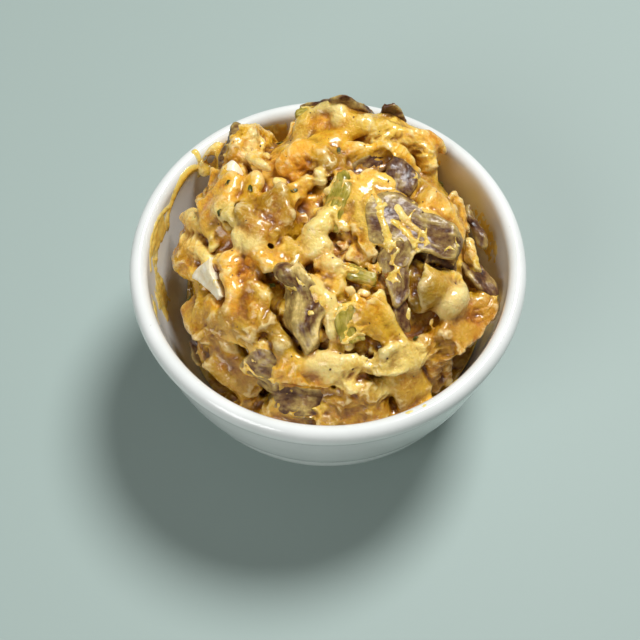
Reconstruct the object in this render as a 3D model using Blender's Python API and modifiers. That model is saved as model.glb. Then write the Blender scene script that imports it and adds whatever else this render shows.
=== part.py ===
# Potato salad heaped in a white glazed side bowl.
#
# The bowl is one turned piece of stoneware with a rolled rim and a foot ring.
# The salad is one solid: a core that fills the bowl and rises above it as a dome,
# with the potato chunks, skins, celery, egg and lumps of dressing that show fused on.
# Metres, +Z up, origin on the table under the middle of the bowl.

import bmesh
import bpy
import math
import random
from mathutils import Euler, Vector, noise

MM = 0.001

# Bowl, in millimetres: radius and height of the points that its turned outline passes through.
RIM_RADIUS = 56.0
BOWL_HEIGHT = 58.0
RIM_HALF_WIDTH = 2.6
RIM_HALF_HEIGHT = 3.2
FOOT_RADIUS = 36.0
FOOT_RING_WIDTH = 5.0
FOOT_RECESS = 1.6
INNER_KEYS = [(0.0, 6.0), (20.0, 7.4), (34.0, 14.0), (44.0, 26.0), (47.8, 37.0), (50.0, 49.0)]
OUTER_KEYS = [(54.2, 50.6), (53.2, 42.0), (51.2, 32.0), (49.0, 26.0)]
BELLY_KEYS = [(48.6, 25.2), (47.2, 19.0), (43.0, 12.0), (37.6, 6.6)]
BOWL_STEPS = 48

# Salad, in millimetres.
WALL_GAP = 0.3
PRESS_GAP = 0.55
DOME_CENTRE = (1.5, 4.5)
DOME_RADIUS = 43.5
DOME_TOP = 67.5
DOME_TOP_SLOPE = 0.16
DOME_EDGE = 43.0
DOME_EDGE_SLOPE = 0.25
DOME_FULLNESS = 3.4
DOME_SHOULDER = 0.55
CORE_DEPTH = 2.2
CORE_SPOKES = 36
CORE_RINGS = 9
CORE_BOTTOM_RINGS = 6
BLOCK_FROM = 0.45
SAME_POINT = 0.0005
FILLER_SEED = 11

# How high the salad stands against the wall, by compass angle from +X towards +Y (the back).
FILL_LEVELS = [
    (0, 35.0), (35, 34.0), (60, 42.0), (90, 50.0), (108, 42.0), (128, 40.0),
    (155, 32.0), (180, 28.0), (215, 28.0), (245, 34.0), (270, 39.0), (295, 36.0), (325, 28.0),
]

# Pieces that show. x and y are the plan place, up is the piece's middle above the dome,
# size is length, width and thickness, turn is about the upright, pitch raises the far end
# of the length and roll turns it on its own length (millimetres and degrees).
# box is how square the piece is (0 round, 1 square) and bend curls it along its length.
CHUNKS = [
    dict(name="back left skin-on chunk", x=-25, y=34, up=-3.5, size=(16, 13, 12), turn=70, pitch=14, box=0.8),
    dict(name="back left tip", x=-27, y=40, up=2.0, size=(11, 8, 8), turn=70, pitch=28, box=0.5),
    dict(name="left loop of celery", x=-35, y=32, up=-1.0, size=(13, 6, 6), turn=40, bend=60, box=0.3),
    dict(name="rough potato", x=-29, y=13, up=-3.0, size=(17, 15, 9), turn=20, box=0.7),
    dict(name="upper left potato", x=-33, y=24, up=-2.0, size=(14, 10, 10), turn=60, box=0.6),
    dict(name="left slice one", x=-36, y=13, up=0.0, size=(17, 6, 7), turn=-60, pitch=-16, box=0.6),
    dict(name="left slice two", x=-37, y=7, up=-0.5, size=(17, 6, 7), turn=-60, pitch=-14, box=0.6),
    dict(name="left slice three", x=-37, y=0, up=-1.0, size=(16, 8, 8), turn=-58, pitch=-12, box=0.5),
    dict(name="pale left lump", x=-24, y=-1, up=-0.5, size=(9, 7, 6), turn=0, box=0.4),
    dict(name="ridged tan chunk", x=-15, y=8, up=-3.0, size=(15, 13, 10), turn=25, box=0.6),
    dict(name="potato cube", x=-15, y=-5, up=-2.5, size=(10, 9, 8), turn=35, box=0.9),
    dict(name="top slab", x=-7, y=25, up=-3.0, size=(17, 12, 9), turn=15, box=0.7),
    dict(name="round translucent lump", x=2, y=24, up=-1.5, size=(9, 8, 7), turn=0, box=0.2),
    dict(name="long celery", x=3, y=12, up=-0.5, size=(20, 7, 6), turn=80, box=0.7),
    dict(name="upright slab", x=9, y=4, up=-1.0, size=(18, 7, 7), turn=100, box=0.7),
    dict(name="curved celery", x=-4, y=2, up=-0.5, size=(16, 5, 5), turn=55, box=0.4, bend=40),
    dict(name="orange cluster", x=-1, y=-5, up=-1.5, size=(10, 9, 7), turn=0, box=0.2),
    dict(name="top right slab", x=13, y=15, up=-2.0, size=(13, 12, 8), turn=-30, pitch=4, box=0.8),
    dict(name="back mass left", x=-3, y=38, up=0.5, size=(15, 12, 12), turn=10, box=0.5),
    dict(name="back mass middle", x=7.5, y=38.5, up=1.5, size=(15, 13, 13), turn=20, box=0.5),
    dict(name="back mass right", x=18.5, y=36.5, up=1.5, size=(15, 13, 12), turn=-25, box=0.6),
    dict(name="back lobe", x=18, y=27.5, up=0.5, size=(15, 7, 6), turn=-12, box=0.2),
    dict(name="back right shoulder", x=25, y=33, up=0.0, size=(14, 11, 12), turn=-40, box=0.5),
    dict(name="back skin tip one", x=6, y=44, up=5.0, size=(11, 5, 7), turn=-10, box=0.6),
    dict(name="back skin tip two", x=17, y=42, up=4.5, size=(11, 5, 6), turn=10, box=0.6),
    dict(name="right hanging sheet", x=28, y=27, up=-2.0, size=(16, 5, 9), turn=80, box=0.5),
    dict(name="right sauce strand", x=32.5, y=33, up=1.0, size=(13, 3, 3), turn=-35, pitch=-12, box=0.0),
    dict(name="dark skin-on chunk", x=20, y=19, up=-4.5, size=(12, 10, 8), turn=70, box=0.7),
    dict(name="pale piece on skin", x=22, y=22, up=-1.0, size=(7, 3.5, 3), turn=-50, box=0.3),
    dict(name="right peach potato", x=33, y=11, up=-3.0, size=(15, 14, 11), turn=-20, box=0.5),
    dict(name="upper right scrap", x=36.5, y=21, up=0.5, size=(7, 4, 4), turn=-20, pitch=15, box=0.5),
    dict(name="right edge skin", x=40.5, y=13, up=0.0, size=(16, 3, 7), turn=-68, pitch=-16, box=0.5),
    dict(name="big skin-on potato", x=23, y=2, up=-3.0, size=(24, 15, 12), turn=-12, pitch=2, box=0.7),
    dict(name="purple right skin", x=41, y=-3, up=-1.5, size=(11, 9, 8), turn=-60, pitch=-20, box=0.6),
    dict(name="grey cream potato", x=28, y=-12, up=-3.5, size=(14, 11, 10), turn=70, pitch=-8, box=0.6),
    dict(name="peach lump", x=34, y=-12, up=0.5, size=(11, 9, 9), turn=70, pitch=-10, box=0.3),
    dict(name="red brown scrap", x=19.5, y=-19, up=-0.5, size=(9, 5, 4), turn=-60, pitch=-12, box=0.5),
    dict(name="long orange chunk", x=35, y=-17, up=1.5, size=(25, 9, 9), turn=40, pitch=6, box=0.5),
    dict(name="lower right lobes", x=28, y=-25, up=2.0, size=(13, 9, 10), turn=-80, pitch=-20, box=0.2),
    dict(name="white glossy chunk", x=18.5, y=-28, up=1.0, size=(15, 9, 7), turn=14, box=0.5),
    dict(name="front ledge", x=8, y=-33, up=1.5, size=(26, 7, 6), turn=-4, box=0.5),
    dict(name="golden slab", x=14.5, y=-22, up=-2.0, size=(17, 10, 8), turn=-55, pitch=-10, box=0.7),
    dict(name="celery cube", x=5.5, y=-22, up=-0.5, size=(11, 7, 6), turn=-70, pitch=-10, box=0.9),
    dict(name="purple wedge", x=-8, y=-17, up=-1.0, size=(19, 12, 10), turn=-72, pitch=-9, box=0.8),
    dict(name="cream ridge", x=-2, y=-19, up=0.0, size=(14, 5, 5), turn=-55, pitch=-8, box=0.2, bend=-30),
    dict(name="yellow celery", x=10, y=-9.5, up=-0.5, size=(9, 5, 4), turn=-5, box=0.6),
    dict(name="egg white wedge", x=-31, y=-8, up=-1.0, size=(11, 8, 8), turn=-65, box=0.8),
    dict(name="hanging drip", x=-27, y=-11, up=0.5, size=(16, 6, 6), turn=-88, pitch=-12, box=0.5),
    dict(name="lower left potato", x=-34, y=-14, up=0.0, size=(14, 11, 12), turn=-60, pitch=-20, box=0.5),
    dict(name="left ridged chunk", x=-20, y=-17, up=-2.0, size=(15, 12, 9), turn=-60, pitch=-12, box=0.5),
    dict(name="left green slice", x=-25, y=-20, up=0.5, size=(12, 6, 6), turn=-55, pitch=-16, box=0.4),
    dict(name="long pale lump", x=-13, y=-27, up=0.8, size=(14, 7, 7), turn=-62, pitch=-14, box=0.5),
    dict(name="lower left skin", x=-35, y=-21, up=3.0, size=(10, 7, 9), turn=-50, pitch=-10, box=0.6),
    dict(name="front left chunk", x=-27, y=-28, up=3.0, size=(17, 11, 14), turn=-40, pitch=-10, box=0.5),
    dict(name="front brown skin", x=-17, y=-31, up=1.5, size=(13, 8, 7), turn=-25, pitch=-6, box=0.6),
    dict(name="front middle", x=-5, y=-31, up=-1.0, size=(14, 8, 8), turn=0, box=0.4),
    dict(name="centre flat", x=-13, y=-13, up=-2.5, size=(13, 9, 7), turn=10, box=0.5),
    dict(name="centre top", x=-5, y=14, up=-1.8, size=(11, 9, 7), turn=-30, box=0.4),
]

# Pieces lower down in the crevice along the front, on the shelf between dome and wall.
SHELF_CHUNKS = [
    dict(x=-9, y=-36, z=46.0, size=(16, 8, 9), turn=-12, box=0.6),
    dict(x=8, y=-37, z=46.0, size=(16, 8, 9), turn=8, box=0.5),
    dict(x=22, y=-32.5, z=43.0, size=(14, 9, 9), turn=30, box=0.6),
    dict(x=-12, y=-40.5, z=39.0, size=(15, 8, 9), turn=-16, box=0.8),
    dict(x=0, y=-42, z=40.0, size=(9, 8, 9), turn=5, box=0.8),
    dict(x=10, y=-41.5, z=40.5, size=(13, 8, 8), turn=12, box=0.8),
    dict(x=22, y=-37.5, z=37.0, size=(13, 8, 9), turn=28, box=0.7),
    dict(x=-23, y=-36.5, z=35.0, size=(12, 8, 8), turn=-34, box=0.7),
    dict(x=2, y=43, z=54.0, size=(26, 9, 18), turn=0, box=0.6),
    dict(x=20, y=39, z=54.0, size=(16, 9, 18), turn=-28, box=0.6),
    dict(x=-29, y=35, z=50.0, size=(14, 10, 14), turn=42, box=0.6),
]

# The loose flap of potato skin folded over the right side: a bent sheet.
SKIN_FLAP = dict(x=20.5, y=-9, up=0.8, size=(19, 14), thick=1.3, turn=-72, pitch=-9, curl=0.55)

# Small lumps of dressing, egg and crumbs between the chunks, laid on a sunflower spiral.
FILLERS = dict(count=32, size_max=8.0, size_min=5.0, spread=0.93, sink=0.5)


def smooth_run(keys, steps):
    """Points along a smooth curve through the keys, both ends included."""
    run = []
    last = len(keys) - 1
    for i in range(last):
        before = keys[max(i - 1, 0)]
        start, end = keys[i], keys[i + 1]
        after = keys[min(i + 2, last)]
        for step in range(steps):
            t = step / steps
            run.append(tuple(
                0.5 * (2 * b + (c - a) * t + (2 * a - 5 * b + 4 * c - d) * t * t
                       + (3 * b - a - 3 * c + d) * t ** 3)
                for a, b, c, d in zip(before, start, end, after)
            ))
    run.append(keys[-1])
    return run


def rim_arc():
    """The rolled rim, from its inner edge over the top to under its outer edge."""
    middle_radius = RIM_RADIUS - RIM_HALF_WIDTH
    middle_height = BOWL_HEIGHT - RIM_HALF_HEIGHT
    arc = []
    for degrees in (180, 144, 110, 90, 70, 36, 0, -45):
        turn = math.radians(degrees)
        arc.append((
            middle_radius + RIM_HALF_WIDTH * math.cos(turn),
            middle_height + RIM_HALF_HEIGHT * math.sin(turn),
        ))
    return arc


def foot_run():
    """The foot ring and the shallow recess under the bowl, ending on the axis."""
    inside = FOOT_RADIUS - FOOT_RING_WIDTH
    return [
        (FOOT_RADIUS, 5.0), (FOOT_RADIUS, 0.6), (FOOT_RADIUS - 0.6, 0.0),
        (inside, 0.0), (inside - 1.0, FOOT_RECESS), (0.0, FOOT_RECESS),
    ]


def wall_run():
    return smooth_run(INNER_KEYS, 2)


def wall_radius(z):
    """Inner radius of the bowl at a height, straight between the points of its outline."""
    run = wall_run()
    edge = RIM_RADIUS - 2 * RIM_HALF_WIDTH
    run.append((edge, BOWL_HEIGHT - RIM_HALF_HEIGHT))
    if z <= run[0][1]:
        return 0.0
    for (r0, z0), (r1, z1) in zip(run, run[1:]):
        if z0 <= z <= z1:
            return r0 + (r1 - r0) * (z - z0) / (z1 - z0)
    return edge


def dome_height(x, y):
    """The outer form of the heap over the plan: a full dome that leans up to the back."""
    reach = math.hypot(x - DOME_CENTRE[0], y - DOME_CENTRE[1]) / DOME_RADIUS
    reach = min(reach, 1.0)
    top = DOME_TOP + DOME_TOP_SLOPE * y
    edge = DOME_EDGE + DOME_EDGE_SLOPE * y
    return edge + (top - edge) * (1 - reach ** DOME_FULLNESS) ** DOME_SHOULDER


def fill_level(angle):
    """Height of the salad against the wall at a compass angle in degrees."""
    levels = FILL_LEVELS + [(FILL_LEVELS[0][0] + 360, FILL_LEVELS[0][1])]
    angle = angle % 360
    for (a0, h0), (a1, h1) in zip(levels, levels[1:]):
        if a0 <= angle <= a1:
            blend = (1 - math.cos(math.pi * (angle - a0) / (a1 - a0))) / 2
            return h0 + (h1 - h0) * blend
    return levels[0][1]


def keep_inside(point):
    """Moves a point in from the bowl's wall, as a soft piece pressed against it."""
    reach = math.hypot(point.x, point.y)
    room = max(wall_radius(point.z) - PRESS_GAP, 0.0)
    if reach > room:
        point.x *= room / reach
        point.y *= room / reach
    return point


def new_object(name, mesh, collection):
    thing = bpy.data.objects.new(name, mesh)
    collection.objects.link(thing)
    return thing


def new_material(name, colour, roughness):
    material = bpy.data.materials.new(name)
    material.use_nodes = True
    shader = material.node_tree.nodes["Principled BSDF"]
    shader.inputs["Base Color"].default_value = (*colour, 1.0)
    shader.inputs["Roughness"].default_value = roughness
    shader.inputs["Metallic"].default_value = 0.0
    return material


def make_bowl(collection):
    """Turns the bowl's outline about the upright."""
    profile = wall_run() + rim_arc() + smooth_run(OUTER_KEYS, 1) + smooth_run(BELLY_KEYS, 2) + foot_run()
    mesh = bpy.data.meshes.new("bowl")
    points = [(r * MM, 0.0, z * MM) for r, z in profile]
    mesh.from_pydata(points, [(i, i + 1) for i in range(len(points) - 1)], [])
    bowl = new_object("bowl", mesh, collection)
    turned = bowl.modifiers.new("turned", "SCREW")
    turned.axis = "Z"
    turned.steps = BOWL_STEPS
    turned.render_steps = BOWL_STEPS
    turned.use_merge_vertices = True
    turned.merge_threshold = 0.00001
    mesh.materials.append(new_material("white glaze", (0.83, 0.84, 0.82), 0.12))
    return bowl


def core_mesh():
    """The body of the salad: rings up the wall from the middle of the floor, then in over the top."""
    body = bmesh.new()
    floor_run = wall_run()
    rings = []
    for ring in range(1, CORE_BOTTOM_RINGS + 1):
        share = ring / CORE_BOTTOM_RINGS
        rings.append([core_wall_point(floor_run, share, spoke) for spoke in range(CORE_SPOKES)])
    for ring in range(1, CORE_RINGS):
        share = 1 - (ring / CORE_RINGS) ** 1.5
        rings.append([core_top_point(share, spoke) for spoke in range(CORE_SPOKES)])
    bottom = body.verts.new((0, 0, (INNER_KEYS[0][1] + WALL_GAP) * MM))
    top = body.verts.new((0, 0, (dome_height(0, 0) - CORE_DEPTH) * MM))
    loops = [[body.verts.new(point * MM) for point in ring] for ring in rings]
    for i in range(CORE_SPOKES):
        j = (i + 1) % CORE_SPOKES
        body.faces.new((bottom, loops[0][j], loops[0][i]))
        body.faces.new((top, loops[-1][i], loops[-1][j]))
        for low, high in zip(loops, loops[1:]):
            body.faces.new((low[i], low[j], high[j], high[i]))
    mesh = bpy.data.meshes.new("core")
    body.to_mesh(mesh)
    body.free()
    return mesh


def core_wall_point(floor_run, share, spoke):
    """A point just inside the wall, a share of the way up to the fill level."""
    angle = 360 * spoke / CORE_SPOKES
    level = fill_level(angle) - 1.0
    floor = INNER_KEYS[0][1]
    height = floor + WALL_GAP + 0.6 + (level - floor) * share ** 1.7
    radius = wall_radius(height - WALL_GAP) - PRESS_GAP
    turn = math.radians(angle)
    return Vector((radius * math.cos(turn), radius * math.sin(turn), height))


def core_top_point(share, spoke):
    """A point on the core's upper side, a share of the way out to the wall."""
    angle = 360 * spoke / CORE_SPOKES
    turn = math.radians(angle)
    level = fill_level(angle)
    reach = wall_radius(level - WALL_GAP) - PRESS_GAP
    x, y = share * reach * math.cos(turn), share * reach * math.sin(turn)
    height = max(dome_height(x, y) - CORE_DEPTH, level - 1.0 + 3.0 * (1 - share))
    return keep_inside(Vector((x, y, height)))


def lump_mesh(size, box, bend, rough, seed, detail):
    """A piece between an egg and a block, a little uneven, curled along its length by bend degrees."""
    ball = bmesh.new()
    if box >= BLOCK_FROM:
        bmesh.ops.create_cube(ball, size=2.0)
        bmesh.ops.bevel(ball, geom=ball.edges[:], offset=0.75 - 0.5 * box, segments=1, affect="EDGES")
    else:
        bmesh.ops.create_icosphere(ball, subdivisions=detail, radius=1.0)
    draw = random.Random(seed)
    offset = Vector((draw.uniform(0, 50), draw.uniform(0, 50), draw.uniform(0, 50)))
    for vert in ball.verts:
        place = vert.co.copy()
        place *= 1 + rough * 2.5 * noise.noise(vert.co * 1.4 + offset)
        place += Vector((draw.uniform(-rough, rough), draw.uniform(-rough, rough), draw.uniform(-rough, rough)))
        place = Vector((place.x * size[0] / 2, place.y * size[1] / 2, place.z * size[2] / 2))
        if bend:
            swing = math.radians(bend) * place.x / size[0]
            radius = size[0] / math.radians(bend)
            place = Vector((
                (radius + place.y) * math.sin(swing),
                (radius + place.y) * math.cos(swing) - radius,
                place.z,
            ))
        vert.co = place
    mesh = bpy.data.meshes.new("lump")
    ball.to_mesh(mesh)
    ball.free()
    return mesh


def place_mesh(mesh, place, turn=0.0, pitch=0.0, roll=0.0):
    """Sets a piece's points where it lies, kept off the bowl."""
    lie = Euler((math.radians(roll), math.radians(-pitch), math.radians(turn)), "XYZ").to_matrix()
    for vert in mesh.vertices:
        vert.co = keep_inside(lie @ vert.co + Vector(place)) * MM


def make_chunks(collection):
    """The pieces laid by hand, on the dome and on the shelf round it."""
    for number, chunk in enumerate(CHUNKS + SHELF_CHUNKS):
        detail = 2 if max(chunk["size"]) > 10 else 1
        mesh = lump_mesh(chunk["size"], chunk.get("box", 0.4), chunk.get("bend", 0.0), 0.05, number, detail)
        height = chunk["z"] if "z" in chunk else dome_height(chunk["x"], chunk["y"]) + chunk["up"]
        place_mesh(mesh, (chunk["x"], chunk["y"], height), chunk["turn"], chunk.get("pitch", 0.0))
        new_object("chunk", mesh, collection)


def make_skin_flap(collection):
    """A sheet of skin curled across its width and dished along its length."""
    flap = SKIN_FLAP
    sheet = bmesh.new()
    bmesh.ops.create_grid(sheet, x_segments=6, y_segments=5, size=0.5)
    for vert in sheet.verts:
        u, v = vert.co.x, vert.co.y
        taper = 0.62 - 0.3 * u
        lift = flap["curl"] * flap["size"][1] * (v * v - 0.12) + 1.2 * math.sin(5 * u)
        vert.co = Vector((u * flap["size"][0], v * flap["size"][1] * taper * 1.6, lift))
    mesh = bpy.data.meshes.new("skin flap")
    sheet.to_mesh(mesh)
    sheet.free()
    place_mesh(mesh, (flap["x"], flap["y"], dome_height(flap["x"], flap["y"]) + flap["up"]),
               flap["turn"], flap["pitch"])
    thing = new_object("chunk", mesh, collection)
    solid = thing.modifiers.new("thickness", "SOLIDIFY")
    solid.thickness = flap["thick"] * MM
    solid.offset = 0.0


def make_fillers(collection):
    """Small uneven lumps, the largest near the middle of the spiral's draw, none on the last."""
    draw = random.Random(FILLER_SEED)
    golden = math.pi * (3 - math.sqrt(5))
    count = FILLERS["count"]
    for number in range(count):
        reach = FILLERS["spread"] * DOME_RADIUS * math.sqrt((number + 0.5) / count)
        turn = number * golden
        x = DOME_CENTRE[0] + reach * math.cos(turn)
        y = DOME_CENTRE[1] + reach * math.sin(turn)
        size = FILLERS["size_max"] - (FILLERS["size_max"] - FILLERS["size_min"]) * draw.random()
        shape = (size * draw.uniform(1.0, 1.6), size, size * draw.uniform(0.7, 1.0))
        mesh = lump_mesh(shape, draw.uniform(0.0, 0.8), 0.0, 0.06, 100 + number, 1)
        height = dome_height(x, y) - FILLERS["sink"] - size * 0.2
        place_mesh(mesh, (x, y, height), draw.uniform(0, 180), draw.uniform(-20, 20))
        new_object("chunk", mesh, collection)


def largest_shell(mesh):
    """Keeps the outer body: sealed hollows are filled and loose scraps dropped."""
    body = bmesh.new()
    body.from_mesh(mesh)
    bmesh.ops.remove_doubles(body, verts=body.verts, dist=SAME_POINT * MM)
    waiting = set(body.verts)
    shells = []
    while waiting:
        shell, edge_of = set(), [waiting.pop()]
        while edge_of:
            vert = edge_of.pop()
            shell.add(vert)
            for edge in vert.link_edges:
                other = edge.other_vert(vert)
                if other in waiting:
                    waiting.discard(other)
                    edge_of.append(other)
        shells.append(shell)
    keep = max(shells, key=len)
    bmesh.ops.delete(body, geom=[v for v in body.verts if v not in keep], context="VERTS")
    bmesh.ops.triangulate(body, faces=body.faces)
    body.to_mesh(mesh)
    body.free()


def make_salad(collection, pieces):
    """The heap: core and pieces as one solid."""
    salad = new_object("potato_salad", core_mesh(), collection)
    make_chunks(pieces)
    make_skin_flap(pieces)
    make_fillers(pieces)
    fused = salad.modifiers.new("fused", "BOOLEAN")
    fused.operation = "UNION"
    fused.operand_type = "COLLECTION"
    fused.collection = pieces
    fused.solver = "EXACT"
    shaped = salad.evaluated_get(bpy.context.evaluated_depsgraph_get())
    mesh = bpy.data.meshes.new_from_object(shaped)
    salad.modifiers.remove(fused)
    salad.data = mesh
    largest_shell(mesh)
    for piece in list(pieces.objects):
        bpy.data.objects.remove(piece)
    mesh.materials.clear()
    mesh.materials.append(new_material("dressed potato", (0.72, 0.42, 0.10), 0.35))
    return salad


def main():
    for thing in list(bpy.data.objects):
        bpy.data.objects.remove(thing)
    whole = bpy.data.collections.new("potato salad in a bowl")
    pieces = bpy.data.collections.new("salad pieces")
    for collection in (whole, pieces):
        bpy.context.scene.collection.children.link(collection)
    bowl = make_bowl(whole)
    salad = make_salad(whole, pieces)
    bowl.data.shade_smooth()
    salad.data.shade_smooth()
    salad.data.set_sharp_from_angle(angle=math.radians(35))
    bpy.data.collections.remove(pieces)


main()
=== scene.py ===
import math

import bpy
import numpy as np
import openvdb
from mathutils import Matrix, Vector
from mathutils.bvhtree import BVHTree


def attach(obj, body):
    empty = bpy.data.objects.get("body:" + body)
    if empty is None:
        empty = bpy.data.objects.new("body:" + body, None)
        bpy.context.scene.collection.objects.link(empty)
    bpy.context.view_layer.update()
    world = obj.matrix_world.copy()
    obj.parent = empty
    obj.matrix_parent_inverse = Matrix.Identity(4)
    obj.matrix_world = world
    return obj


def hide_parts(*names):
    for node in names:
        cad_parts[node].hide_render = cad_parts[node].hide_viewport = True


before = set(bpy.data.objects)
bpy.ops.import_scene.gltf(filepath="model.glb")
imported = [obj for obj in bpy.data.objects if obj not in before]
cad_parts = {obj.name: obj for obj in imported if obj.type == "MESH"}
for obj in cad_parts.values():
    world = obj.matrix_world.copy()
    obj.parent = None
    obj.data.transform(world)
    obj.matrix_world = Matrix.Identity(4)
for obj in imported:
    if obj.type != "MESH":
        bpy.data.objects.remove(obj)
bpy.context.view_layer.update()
mm = 0.001


def tone(red, green, blue):
    # a colour as seen on a screen, 0 to 255, made linear for the shaders
    return tuple(c / 255 / 12.92 if c < 10 else ((c / 255 + 0.055) / 1.055) ** 2.4
                 for c in (red, green, blue))


view = {
    "place": (-0.002234, -0.193659, 0.372802),
    "lookDown": 61.166,     # degrees below the horizontal
    "lens": 73.96,
}
light = {
    "keyPlace": (0.40, 0.52, 1.30), "keySize": 0.50, "keyPower": 21.4,
    "fillPlace": (-0.50, -0.60, 0.66), "fillSize": 0.5, "fillPower": 3.4,
    "aim": (0.0, 0.0, 0.04),
    "room": (1.0, 0.97, 0.91), "roomStrength": 0.10,
}
table = {"width": 3.0, "colour": tone(157, 174, 169), "roughness": 0.6}


def addLamp(name, place, size, power):
    lamp = bpy.data.lights.new(name, "AREA")
    lamp.shape = "DISK"
    lamp.size = size
    lamp.energy = power
    holder = bpy.data.objects.new(name, lamp)
    bpy.context.scene.collection.objects.link(holder)
    holder.location = place
    toBowl = Vector(light["aim"]) - Vector(place)
    holder.rotation_euler = toBowl.to_track_quat("-Z", "Y").to_euler()


def setUpView():
    scene = bpy.context.scene
    camera = bpy.data.objects.new("camera", bpy.data.cameras.new("camera"))
    scene.collection.objects.link(camera)
    camera.location = view["place"]
    camera.rotation_euler = (math.radians(90 - view["lookDown"]), 0, 0)
    camera.data.lens = view["lens"]
    camera.data.clip_start = 0.01
    scene.camera = camera
    addLamp("windowLight", light["keyPlace"], light["keySize"], light["keyPower"])
    addLamp("softFill", light["fillPlace"], light["fillSize"], light["fillPower"])
    room = bpy.data.worlds.new("room")
    room.use_nodes = True
    air = room.node_tree.nodes["Background"]
    air.inputs["Color"].default_value = (*light["room"], 1.0)
    air.inputs["Strength"].default_value = light["roomStrength"]
    scene.world = room
    scene.view_settings.view_transform = "Standard"


def newObject(name, mesh):
    thing = bpy.data.objects.new(name, mesh)
    bpy.context.scene.collection.objects.link(thing)
    return thing


def applyModifiers(thing):
    shaped = thing.evaluated_get(bpy.context.evaluated_depsgraph_get())
    finished = bpy.data.meshes.new_from_object(shaped)
    thing.modifiers.clear()
    thing.data = finished
    return finished


def dress(thing, material):
    # a piece of the salad gets its material and goes under the root in place of the CAD salad
    thing.data.materials.append(material)
    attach(thing, "root")
    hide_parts("potato_salad")
    print(thing.name, "has", len(thing.data.vertices), "points,", len(thing.data.polygons), "faces")


def headed(turn):
    # the way of a compass angle (degrees)
    return math.cos(math.radians(turn)), math.sin(math.radians(turn))


def layTable():
    half = table["width"] / 2
    mesh = bpy.data.meshes.new("tableTop")
    corners = [(-half, -half, 0), (half, -half, 0), (half, half, 0), (-half, half, 0)]
    mesh.from_pydata(corners, [], [(0, 1, 2, 3)])
    finish = Recipe("pale table", Base_Color=table["colour"], Roughness=table["roughness"])
    mesh.materials.append(finish.material)
    newObject("tableTop", mesh)


class Recipe:
    # a material and short ways to add nodes to it

    def __init__(self, name, **settings):
        self.material = bpy.data.materials.new(name)
        self.material.use_nodes = True
        self.nodes, self.links = self.material.node_tree.nodes, self.material.node_tree.links
        self.shader = self.nodes["Principled BSDF"]
        self.place = self.add("TexCoord", "Object")
        self.use(**settings)

    def feed(self, socket, value):
        if isinstance(value, (int, float)):
            socket.default_value = value
        elif isinstance(value, tuple):
            socket.default_value = (*value, 1) if len(value) == 3 and socket.type == "RGBA" else value
        else:
            self.links.new(value, socket)

    def add(self, kind, out=0, inputs=None, **settings):
        node = self.nodes.new("ShaderNode" + kind)
        for setting, value in settings.items():
            setattr(node, setting, value)
        for socket, value in (inputs or {}).items():
            self.feed(node.inputs[socket], value)
        return node.outputs[out]

    def use(self, **sources):
        for socket, source in sources.items():
            self.feed(self.shader.inputs[socket.replace("_", " ")], source)

    def painted(self, name, out="Fac"):
        # a value, colour or place stored on the mesh
        return self.add("Attribute", out, attribute_name=name)

    def noise(self, size, detail=4, rough=0.55, warp=0.0, place=None):
        # a soft random pattern with patches of the given size (mm)
        return self.add("TexNoise", "Fac", {"Scale": 1 / (size * mm), "Detail": detail, "Roughness": rough,
                                            "Distortion": warp, "Vector": place or self.place})

    def stretched(self, source, scale):
        # places with each axis scaled, so that a pattern in them runs in streaks
        return self.add("VectorMath", 0, {0: source, 1: scale}, operation="MULTIPLY")

    def maths(self, kind, first, second=0.0, clamp=False):
        return self.add("Math", 0, {0: first, 1: second}, operation=kind, use_clamp=clamp)

    def total(self, base, *shares):
        # base plus each value times its weight
        for value, weight in shares:
            base = self.add("Math", 0, {0: value, 1: weight, 2: base}, operation="MULTIPLY_ADD")
        return base

    def between(self, source, low, high):
        # 0 at low, 1 at high
        return self.add("MapRange", 0, {"Value": source, "From Min": low, "From Max": high},
                        interpolation_type="SMOOTHSTEP")

    def ramp(self, source, *stops):
        # a run of colours, each as its position and red, green and blue as in tone
        node = self.nodes.new("ShaderNodeValToRGB")
        while len(node.color_ramp.elements) < len(stops):
            node.color_ramp.elements.new(0.5)
        for element, (position, *colour) in zip(node.color_ramp.elements, stops):
            element.position = position
            element.color = (*tone(*colour), 1)
        self.feed(node.inputs["Fac"], source)
        return node.outputs["Color"]

    def mixed(self, share, first, second, kind="MIX"):
        return self.add("Mix", 2, {0: share, 6: first, 7: second}, data_type="RGBA", blend_type=kind)

    def bump(self, height, strength, depth):
        # small relief for the light only, depth in mm
        lit = self.add("Bump", "Normal", {"Strength": strength, "Distance": depth * mm, "Height": height})
        self.use(Normal=lit)


setUpView()
layTable()
print("view, lights and table are set")


bowl = {
    "rimRadius": 56.0, "height": 58.0, "rimHalfWidth": 2.6, "rimHalfHeight": 3.2,
    "footRadius": 36.0, "footRing": 5.0, "recess": 1.6, "recessSlope": 0.8,
    # the foot ring's outer and inner edge, out from its radius and up
    "footEdge": [(0.0, 5.0), (0.0, 0.8), (-0.3, 0.3), (-0.8, 0.0)], "ringEdge": [(0.6, 0.0), (0.0, 0.3)],
    # outlines as radius and height
    "inside": [(0.0, 6.0), (20.0, 7.4), (34.0, 14.0), (44.0, 26.0), (47.8, 37.0), (50.0, 49.0)],
    "outside": [(54.2, 50.6), (53.2, 42.0), (51.2, 32.0), (49.0, 26.0)],
    "belly": [(48.6, 25.2), (47.2, 19.0), (43.0, 12.0), (37.6, 6.6)],
    "turns": 160, "steps": 6, "weld": 0.01,
}


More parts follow.
